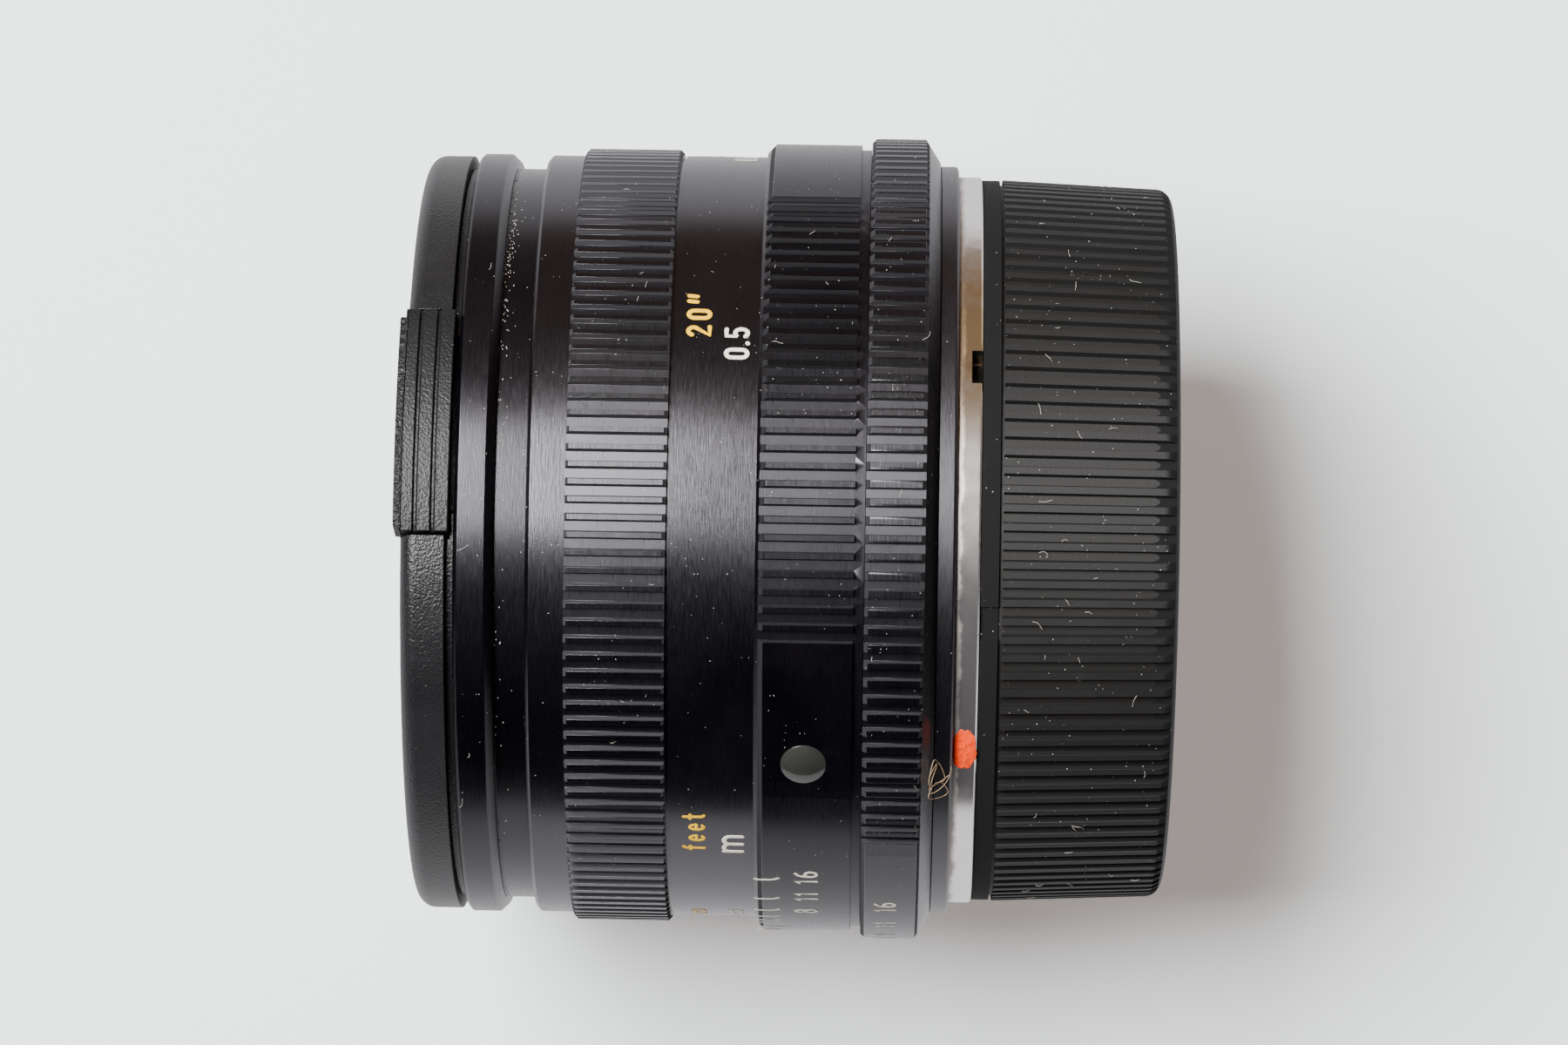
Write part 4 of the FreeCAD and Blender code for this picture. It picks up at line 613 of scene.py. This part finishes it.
# %% [markdown]
# ## Engraved signs
# The scales are cut by an engraving machine and filled with paint, so every stroke has the same
# width and round ends. A font would not look like that. Each sign is drawn as a few strokes, as
# the engraver's tool would run, with arcs for its round stretches.

# %% Strokes of the signs
half_turn_steps = 7


def arc(centre_x, centre_y, across, up, start, end):
    """Points along a piece of an ellipse, with angles in degrees."""
    steps = max(2, round(abs(end - start) / 180.0 * half_turn_steps))
    angles = [math.radians(start + (end - start) * step / steps) for step in range(steps + 1)]
    return [(centre_x + across * math.cos(a), centre_y + up * math.sin(a)) for a in angles]


zero = arc(0.21, 0.75, 0.21, 0.25, 0, 180) + arc(0.21, 0.25, 0.21, 0.25, 180, 360) + [(0.42, 0.75)]
five = [(0.4, 1.0), (0.04, 1.0), (0.04, 0.56)] + arc(0.21, 0.3, 0.22, 0.3, 130, -140)
infinity = arc(0.33, 0.40, 0.33, 0.28, 35, 325) + arc(1.11, 0.40, 0.33, 0.28, 215, 505) + [(0.60, 0.56)]
# Each sign is one unit high. Its width comes first, and its strokes are lists of points.
signs = {
    "0": (0.42, [zero]),
    "1": (0.16, [[(0.0, 0.82), (0.14, 1.0), (0.14, 0.0)]]),
    "2": (0.44, [arc(0.22, 0.76, 0.21, 0.24, 160, -25) + [(0.0, 0.0), (0.44, 0.0)]]),
    "3": (0.42, [arc(0.2, 0.76, 0.2, 0.24, 150, -80), arc(0.2, 0.27, 0.22, 0.27, 85, -150)]),
    "4": (0.46, [[(0.34, 0.0), (0.34, 1.0), (0.0, 0.28), (0.46, 0.28)]]),
    "5": (0.44, [five]),
    "6": (0.42, [arc(0.21, 0.28, 0.21, 0.28, 180, -180),
                 [(0.0, 0.28), (0.02, 0.62), (0.12, 0.88), (0.3, 1.0)]]),
    "7": (0.42, [[(0.0, 1.0), (0.42, 1.0), (0.14, 0.0)]]),
    "8": (0.42, [arc(0.21, 0.77, 0.18, 0.23, 270, -90), arc(0.21, 0.27, 0.21, 0.27, 90, -270)]),
    ".": (0.06, [[(0.03, 0.0), (0.031, 0.001)]]),
    '"': (0.36, [[(0.04, 1.0), (0.0, 0.64)], [(0.36, 1.0), (0.32, 0.64)]]),
    "m": (1.2, [[(0.0, 0.0), (0.0, 0.85)],
                arc(0.3, 0.57, 0.3, 0.28, 180, 0) + [(0.6, 0.0)],
                arc(0.9, 0.57, 0.3, 0.28, 180, 0) + [(1.2, 0.0)]]),
    "f": (0.3, [arc(0.26, 0.8, 0.14, 0.2, 90, 180) + [(0.12, 0.0)], [(0.0, 0.66), (0.28, 0.66)]]),
    "e": (0.38, [[(0.02, 0.36), (0.38, 0.36)] + arc(0.19, 0.34, 0.19, 0.34, 5, 310)]),
    "t": (0.26, [[(0.12, 0.98), (0.12, 0.14)] + arc(0.22, 0.12, 0.1, 0.12, 190, 270),
                 [(0.0, 0.66), (0.26, 0.66)]]),
    "infinity": (1.44, [infinity]),
}


def layout(text, height, gap=0.26):
    """Strokes of a word in millimetres, centred on its width, with its foot at zero."""
    strokes = []
    reach = 0.0
    for letter in text:
        width, parts = signs[letter]
        strokes += [[((reach + x) * height, y * height) for x, y in part] for part in parts]
        reach += width + gap
    middle = (reach - gap) * height / 2
    return [[(x - middle, y) for x, y in part] for part in strokes]


print("signs:", len(signs))

# %% [markdown]
# ## From strokes to paint on a ring
# A stroke becomes a curve with a round bevel, whose end points shrink to close it. The curves
# are turned into one mesh, which is flattened to a film of paint, and each point is then laid
# round the ring by its angle.

# %% Lay marks on a ring
paint_film = 0.018
ring_gap = 0.004
cap_steps = (0.35, 0.65, 0.87, 0.98)
front_bearing = math.radians(-90.0)


def round_ends(points, width):
    """A stroke's points with a round cap on each end, and how thick the stroke is at each."""
    caps = []
    for end, inner in ((points[0], points[1]), (points[-1], points[-2])):
        way = (Vector(end) - Vector(inner)).normalized()
        caps.append([(Vector(end) + way * width / 2 * t, math.sqrt(1 - t * t)) for t in cap_steps])
    return caps[0][::-1] + [(Vector(point), 1.0) for point in points] + caps[1]


def stroke_mesh(name, strokes, width):
    """Turn strokes in millimetres into one mesh of round-ended tubes."""
    data = bpy.data.curves.new(name, "CURVE")
    data.dimensions = "3D"
    data.bevel_depth = width / 2
    data.bevel_resolution = 2
    for points in strokes:
        rounded = round_ends(points, width)
        spline = data.splines.new("POLY")
        spline.points.add(len(rounded) - 1)
        for target, (spot, thick) in zip(spline.points, rounded):
            target.co = (spot.x, spot.y, 0.0, 1.0)
            target.radius = thick
    add_object(name, data)
    bpy.ops.object.convert(target="MESH")
    piece = bpy.context.object
    bpy.ops.object.mode_set(mode="EDIT")
    bpy.ops.mesh.select_all(action="SELECT")
    bpy.ops.mesh.remove_doubles(threshold=0.001)
    bpy.ops.mesh.normals_make_consistent(inside=False)
    bpy.ops.object.mode_set(mode="OBJECT")
    bpy.ops.object.shade_smooth()
    piece.select_set(False)
    return piece


def finish_piece(piece, body, material):
    """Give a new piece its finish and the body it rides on."""
    piece.data.materials.append(material)
    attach(piece, body)
    print(piece.name, len(piece.data.polygons), "faces")


def on_ring(strokes, station, foot, radius):
    """Strokes moved to their place on a ring that is rolled out flat."""
    offset = -math.radians(station) * radius
    return [[(x + offset, y + foot) for x, y in part] for part in strokes]


def lay_marks(name, strokes, radius, width, body, material):
    """Make all the strokes one piece and wrap it on its ring."""
    piece = stroke_mesh(name, strokes, width)
    for point in piece.data.vertices:
        along, up, out = point.co
        bearing = front_bearing + along / radius
        lift = radius + ring_gap + paint_film * (out / (width / 2) + 1.0) / 2
        point.co = Vector((math.cos(bearing) * lift, math.sin(bearing) * lift, up)) * mm
    finish_piece(piece, body, material)


print("paint film:", paint_film, "mm")

# %% [markdown]
# ## Enamel
# The marks are filled with enamel by hand and wiped flush. It has a weak shine and some dirt in
# it, so a second, darker colour comes through in patches.

# %% Material: enamel
def enamel(name, rgb, dirt):
    """Filled enamel with a little dirt in it."""
    material, tree, shader = new_material(name, Specular_IOR_Level=0.15)
    grains = use(tree, grain, Grain_per_mm=6.0, Smudges_per_mm=1.2)
    grimy = ramp(tree, grains["Smudges"], 0.35, 0.8)
    set_colour(tree, shader, mix(tree, grimy, rgb, tinted(rgb, dirt)))
    set_roughness(tree, shader, ramp(tree, grains["Grain"], 0.2, 0.8, 0.24, 0.36))
    bump(tree, shader, grains["Grain"], 0.2, tool_mark)
    return material


yellow = enamel("yellow_enamel", (0.95, 0.55, 0.001, 1.0), (0.86, 0.74, 0.8))
cream = enamel("cream_enamel", (0.88, 0.84, 0.72, 1.0), (0.78, 0.72, 0.62))
print("enamels:", yellow.name, cream.name)

# %% [markdown]
# ## The distance scale
# On a focus thread the ring turns in step with the lens's travel, so the angle from infinity to
# a distance follows from the lens equation. The loop works it out from the focal length, and
# each number stands where the index would read it.

# %% Where a distance stands
focal = 0.0516
closest = 0.5
foot_length = 0.3048
index_station = 79.0
focus_turn = 252.0


def magnification(distance):
    """How large the image is, from distance = focal * (2 + m + 1 / m)."""
    half = distance / focal - 2.0
    return (half - math.sqrt(half * half - 4.0)) / 2.0


def scale_station(distance):
    """The station of a distance mark, measured from the index at infinity."""
    return index_station + focus_turn * magnification(distance) / magnification(closest)


print("closest mark at station", round(scale_station(closest), 1))

# %% Distance scale on the focus ring
flange_face = 15.6
scale_radius = 31.35
row_metres = flange_face + 18.47
row_feet = flange_face + 21.48
digit_height = 1.67
metres = ("0.5", "0.6", "0.7", "0.8", "1", "1.2", "1.5", "2", "3", "5", "10")
feet = ("2", "2.5", "3", "4", "5", "7", "10", "15", "30")
infinity_sign = layout(["infinity"], digit_height)

strokes = []
for text in metres:
    number = layout(text, digit_height, 0.32)
    strokes += on_ring(number, scale_station(float(text)), row_metres, scale_radius)
strokes += on_ring(layout("m", digit_height), 51.4, row_metres, scale_radius)
strokes += on_ring(infinity_sign, index_station, row_metres, scale_radius)
lay_marks("metre_row", strokes, scale_radius, 0.38, "focusing", cream)

strokes = on_ring(layout('20"', digit_height, 0.52), -33.7, row_feet, scale_radius)
for text in feet:
    number = layout(text, digit_height, 0.4)
    strokes += on_ring(number, scale_station(float(text) * foot_length), row_feet, scale_radius)
strokes += on_ring(infinity_sign, index_station, row_feet, scale_radius)
lay_marks("feet_row", strokes, scale_radius, 0.40, "focusing", yellow)

strokes = on_ring(layout("feet", 1.62, 0.46), 48.8, row_feet, scale_radius)
lay_marks("feet_word", strokes, scale_radius, 0.30, "focusing", yellow)

# %% [markdown]
# ## Depth and aperture scales
# The depth ring has an index line, and on each side of it a hook for each stop with numbers
# under three of them. The aperture ring has the stops at even steps, because each click turns
# the ring by the same angle.

# %% Depth scale
depth_radius = 32.45
hook_stations = (21.4, 15.2, 10.6, 7.5, 5.3, 3.7)
depth_numbers = {"16": 22.1, "11": 16.1, "8": 10.5}
row_hooks = flange_face + 15.5
row_depths = flange_face + 12.5
row_index = flange_face + 14.5
index_line = [(0.0, 0.3), (0.0, 2.9)]

strokes = []
for side in (-1.0, 1.0):
    hook = [(side * -0.12, 1.95), (0.0, 1.72), (0.0, 0.75), (side * -0.06, 0.42), (side * -0.24, 0.08)]
    for station in hook_stations:
        strokes += on_ring([hook], index_station + side * station, row_hooks, depth_radius)
    for text, station in depth_numbers.items():
        number = layout(text, 1.70, 0.42)
        strokes += on_ring(number, index_station + side * station, row_depths, depth_radius)
strokes += on_ring([index_line], index_station, row_index, depth_radius)
lay_marks("depth_marks", strokes, depth_radius, 0.27, "barrel", cream)

# %% Aperture scale
aperture_radius = 33.0
row_stops = flange_face + 6.2
stops = {"16": 63.9, "11": 71.4, "8": 78.9, "5.6": 86.4, "4": 94.0, "2.8": 101.5, "2": 109.0}
strokes = []
for text, station in stops.items():
    strokes += on_ring(layout(text, 1.6, 0.42), station, row_stops, aperture_radius)
lay_marks("aperture_marks", strokes, aperture_radius, 0.27, "aperture_control", cream)

# %% [markdown]
# ## The red spot
# A daub of red paint on the flange lines it up with the camera. It was put on by hand, so its
# edge is ragged and its surface lumpy: a sphere is pressed flat and its points are pushed by
# noise, some slow and some fine. Then it is laid on the flange by its angle, as the marks are.

# %% The red spot's shape
flange_radius = 29.95
spot_station = 33.4
spot_height = flange_face + 0.97
half_round = 1.78
half_long = 0.92


def daub_noise(u, v, layer, fineness):
    """A smooth random value at a place on the daub."""
    return noise.noise(Vector((u, v, layer)) * fineness)


bpy.ops.mesh.primitive_uv_sphere_add(segments=72, ring_count=48, radius=1.0)
red_spot = bpy.context.object
red_spot.name = "red_spot"
bpy.ops.object.transform_apply(location=True, rotation=True, scale=True)
for point in red_spot.data.vertices:
    u, v, w = point.co
    ragged = 1.0 + 0.10 * daub_noise(u, v, 0.0, 2.3) + 0.07 * daub_noise(u, v, 2.0, 6.0)
    squared = (1.0 + 0.20 * (abs(u * v) ** 0.8)) * ragged
    lump = 0.5 + 0.5 * daub_noise(u, v, 5.0, 3.4) + 0.35 * daub_noise(u, v, 9.0, 9.0)
    bearing = math.radians(-90.0 - spot_station) + u * squared * half_round / flange_radius
    out = flange_radius + (-0.05 + max(w, 0.0) ** 0.5 * (0.10 + 0.13 * lump))
    up = spot_height + v * squared * half_long
    point.co = Vector((math.cos(bearing) * out, math.sin(bearing) * out, up)) * mm
red_spot.select_set(True)
bpy.ops.object.shade_smooth()
red_spot.select_set(False)
print("daub:", 2 * half_round, "by", 2 * half_long, "mm")

# %% The red spot's paint
material, tree, shader = new_material("red_daub", Specular_IOR_Level=0.12)
grains = use(tree, grain, Grain_per_mm=5.0, Smudges_per_mm=0.9)
height = use(tree, coordinates)["Height"]
darker = times(tree, ramp(tree, height, spot_height + 0.1, spot_height + 0.95), 0.75)
darker = calc(tree, "MAXIMUM", darker, ramp(tree, grains["Smudges"], 0.55, 0.8))
set_colour(tree, shader, mix(tree, darker, (0.92, 0.062, 0.004, 1.0), (0.42, 0.014, 0.005, 1.0)))
set_roughness(tree, shader, ramp(tree, grains["Grain"], 0.2, 0.8, 0.24, 0.40))
bump(tree, shader, grains["Grain"], 0.5, 0.06 * mm)
finish_piece(red_spot, "barrel", material)

# %% [markdown]
# ## A caught fibre
# A curly tan fibre has caught on the collar beside the red spot. It is a smooth curve with a thin
# round bevel, and its points are listed one by one where the loops cross.

# %% Hairs from smooth curves
def fibre_finish(name, light_rgb, dark_rgb, smudges, low_rough, high_rough):
    """A dull thread that darkens in places."""
    material, tree, shader = new_material(name)
    shade = use(tree, grain, Smudges_per_mm=smudges)["Smudges"]
    set_colour(tree, shader, mix(tree, shade, light_rgb, dark_rgb))
    set_roughness(tree, shader, ramp(tree, shade, 0.2, 0.8, low_rough, high_rough))
    return material


def fibres(name, runs, thickness, body, material, resolution=1):
    """Thin hairs from smooth curves; a run is a list of stations, heights and radii."""
    data = bpy.data.curves.new(name, "CURVE")
    data.dimensions = "3D"
    data.bevel_depth = thickness / 2
    data.bevel_resolution = resolution
    data.resolution_u = 5
    data.use_fill_caps = True
    for run in runs:
        spline = data.splines.new("NURBS")
        spline.points.add(len(run) - 1)
        for target, (station, height, radius) in zip(spline.points, run):
            bearing = math.radians(-90.0 - station)
            target.co = (math.cos(bearing) * radius, math.sin(bearing) * radius, height, 1.0)
        spline.order_u = 3
        spline.use_endpoint_u = True
    add_object(name, data)
    bpy.ops.object.convert(target="MESH")
    piece = bpy.context.object
    piece.data.transform(Matrix.Scale(mm, 4))
    piece.select_set(False)
    finish_piece(piece, body, material)


# %% The curly fibre
fibre_path = [
    (36.5, 17.7), (37.6, 18.3), (37.3, 19.1), (35.9, 19.4), (33.7, 19.15), (32.6, 18.95),
    (34.1, 18.6), (35.9, 18.15), (37.8, 18.0), (37.0, 18.9), (38.1, 19.45), (39.7, 19.05),
    (40.5, 17.95), (39.6, 17.7), (37.4, 18.4), (36.9, 19.3), (34.6, 19.3), (33.5, 18.5),
    (36.3, 19.2), (38.4, 19.3), (37.6, 17.6), (35.0, 17.55),
]
fibre_radius = 31.05
ring_step = 18.6
ring_slope = 2.2
tan_fibre = fibre_finish("tan_fibre", (0.60, 0.42, 0.25, 1.0), (0.32, 0.20, 0.11, 1.0), 0.9, 0.5, 0.8)
run = []
for station, height in fibre_path:
    run.append((station, height, fibre_radius + ring_slope * max(0.0, height - ring_step)))
fibres("curly_fibre", [run], 0.05, "barrel", tan_fibre, 2)

# %% [markdown]
# ## Lint and grit
# Short pale hairs lie on the knurling and the rear cap. Each starts at a random place and turns
# a little at every step. Grit has packed into the groove under the hood's rim, thickest where
# fingers push it. A fixed seed gives the same dust each time.

# %% Lint on the rings
lint = fibre_finish("lint", (0.62, 0.58, 0.52, 1.0), (0.40, 0.36, 0.30, 1.0), 0.5, 0.7, 0.9)
random.seed(11)
lint_thickness = 0.028
lint_gap = 0.03
lint_rise = 0.10
# The slot, the radius at the foot, its taper, the lowest and highest place, and how many.
lint_places = {
    "rear_cap_body": ("rear_cap", 29.16, 0.044, 2.0, 13.0, 70),
    "aperture_control": ("aperture_ring", 32.62, 0.0, 19.8, 24.0, 34),
    "barrel": ("depth_ring", 32.05, 0.0, 25.8, 32.6, 50),
    "focusing": ("focus_ring", 31.45, 0.0, 40.6, 47.6, 50),
    "telescopic_hood": ("hood", 31.35, 0.0, 54.2, 56.4, 10),
}
for body, (slot, radius, taper, low, high, count) in lint_places.items():
    runs = []
    for _ in range(count):
        station = random.uniform(-180.0, 180.0)
        height = random.uniform(low, high)
        heading = random.uniform(0.0, 2.0 * math.pi)
        length = random.uniform(0.12, 0.38)
        run = []
        for step in range(4):
            lift = lint_gap + lint_rise * math.sin(step) ** 2
            run.append((station, height, radius + taper * height + lift))
            heading += random.uniform(-0.9, 0.9)
            station += math.degrees(length * math.cos(heading) / radius)
            height = min(max(height + length * math.sin(heading), low), high)
        runs.append(run)
    fibres("lint_" + body, runs, lint_thickness, body, lint)

# %% Grit in the hood's groove
groove_radius = 30.1
groove_front = 53.52
grit_count = 150
grit_thickness = 0.06
runs = []
for _ in range(grit_count):
    in_patch = random.random() < 0.75
    station = random.gauss(-46.0, 13.0) if in_patch else random.uniform(-80.0, 60.0)
    height = groove_front - abs(random.gauss(0.0, 0.42))
    out = groove_radius + random.uniform(0.02, 0.05)
    step = random.uniform(0.04, 0.12)
    crumb = [(station, height, out)]
    crumb.append((station + step, height + step / 2, out + 0.01))
    crumb.append((station + 2 * step, height, out))
    runs.append(crumb)
fibres("hood_groove_grit", runs, grit_thickness, "telescopic_hood", lint)

# %% [markdown]
# ## The table
# The lens lies on a white table, so the table is a plane that touches its far side. A camera ray
# sees a diffuse surface, which takes the lens's soft shadow, with a little warm light added
# because a real room fills its shadows. Rays that bounce off the lens see the same plane as a
# pale light that fades past the lens's front end, so its reflection in the metal is clean. Seen
# from behind the plane is clear, and far from the lens it fades into the pale room.

# %% The table's plane
lens_middle = (0.0, 0.0, 0.03)
table_y = max(abs(corner.y) for corner in cad_box) + 0.02 * mm
table_middle = (0.0, table_y, lens_middle[2])
upright = (math.radians(90.0), 0.0, 0.0)
bpy.ops.mesh.primitive_plane_add(size=3.0, location=table_middle, rotation=upright)
table = bpy.context.object
table.name = "table"
bpy.ops.object.transform_apply(location=True, rotation=True, scale=True)
print("table at y =", round(table_y / mm, 2), "mm")

# %% The table's surface
pale_rgb = (1.08, 1.06, 1.10, 1.0)
far_rgb = (0.21, 0.14, 0.10, 1.0)
fill_rgb = (1.0, 0.873, 0.831, 1.0)
fill_strength = 0.355
material = bpy.data.materials.new("white_table")
material.use_nodes = True
tree = material.node_tree
tree.nodes.clear()
place = put(tree, "TexCoord").outputs["Object"]
paper = put(tree, "TexNoise", {"Vector": place, "Scale": 14.0, "Detail": 4.0}).outputs["Fac"]
colour = mix(tree, paper, (0.88, 0.97, 0.98, 1.0), (0.91, 0.99, 1.0, 1.0))
camera_ray = put(tree, "LightPath").outputs["Is Camera Ray"]
diffuse = put(tree, "BsdfDiffuse", {"Color": colour}).outputs[0]
fill = put(tree, "Emission", {"Color": fill_rgb, "Strength": fill_strength}).outputs[0]
lit = put(tree, "AddShader", {0: diffuse, 1: fill}).outputs[0]
upward = put(tree, "SeparateXYZ", {0: place}).outputs[0]
reflected = mix(tree, ramp(tree, upward, 0.10, 0.24), pale_rgb, far_rgb)
even = put(tree, "Emission", {"Color": reflected, "Strength": 1.0}).outputs[0]
seen = put(tree, "MixShader", {0: camera_ray, 1: even, 2: lit}).outputs[0]
clear = put(tree, "BsdfTransparent").outputs[0]
feeds = {0: place, 1: table_middle}
away = put(tree, "VectorMath", feeds, operation="DISTANCE").outputs["Value"]
fade = times(tree, ramp(tree, away, 0.16, 0.45), camera_ray)
behind = put(tree, "NewGeometry").outputs["Backfacing"]
hidden = calc(tree, "MAXIMUM", behind, fade)
surface = put(tree, "MixShader", {0: hidden, 1: seen, 2: clear}).outputs[0]
tree.links.new(surface, put(tree, "OutputMaterial").inputs["Surface"])
table.data.materials.append(material)
print("table finish:", material.name)

# %% [markdown]
# ## The room
# The room above the table is dim, as in the photograph, where the rings reflect it almost black,
# and it is warm and lighter towards one side. The camera itself and rays through the glass see
# a pale backdrop instead, so the picture's corners match the table.

# %% The room's colour
backdrop_rgb = (0.83, 0.83, 0.84, 1.0)
dark_side_rgb = (0.010, 0.009, 0.014, 1.0)
warm_side_rgb = (0.19, 0.13, 0.095, 1.0)
world = bpy.data.worlds.new("room")
bpy.context.scene.world = world
world.use_nodes = True
tree = world.node_tree
tree.nodes.clear()
path = put(tree, "LightPath").outputs
bright = calc(tree, "MAXIMUM", path["Is Camera Ray"], path["Is Transmission Ray"])
heading = put(tree, "TexCoord").outputs["Generated"]
sideways = put(tree, "SeparateXYZ", {0: heading}).outputs[0]
dim = mix(tree, ramp(tree, sideways, -0.35, 0.95), dark_side_rgb, warm_side_rgb)
colour = mix(tree, bright, dim, backdrop_rgb)
background = put(tree, "Background", {"Color": colour, "Strength": 1.0}).outputs[0]
tree.links.new(background, put(tree, "OutputWorld").inputs["Surface"])
print("room:", world.name)

# %% [markdown]
# ## The lamp
# One large lamp stands over the front end of the lens. A flat lamp gives the long soft highlight
# along the rings and the shadow past the rear cap. It leans off the camera's line, so the
# highlight falls above the middle of the rings.

# %% The lamp
lean_up = math.tan(math.radians(17.0))
lean_front = math.tan(math.radians(23.5))
lamp_distance = 0.75
lamp_data = bpy.data.lights.new("window", "AREA")
lamp_data.shape = "RECTANGLE"
lamp_data.size = 0.44
lamp_data.size_y = 0.38
lamp_data.energy = 19.3
lamp = bpy.data.objects.new("window", lamp_data)
bpy.context.collection.objects.link(lamp)
direction = Vector((lean_up, -1.0, lean_front)).normalized()
lamp.location = Vector(lens_middle) + direction * lamp_distance
lamp.rotation_euler = direction.to_track_quat("Z", "Y").to_euler()
print("lamp:", lamp_data.energy, "watts")

# %% [markdown]
# The imported model's box is printed, in millimetres.

print("cad box", [[round(v / mm, 2) for v in c] for c in cad_box])
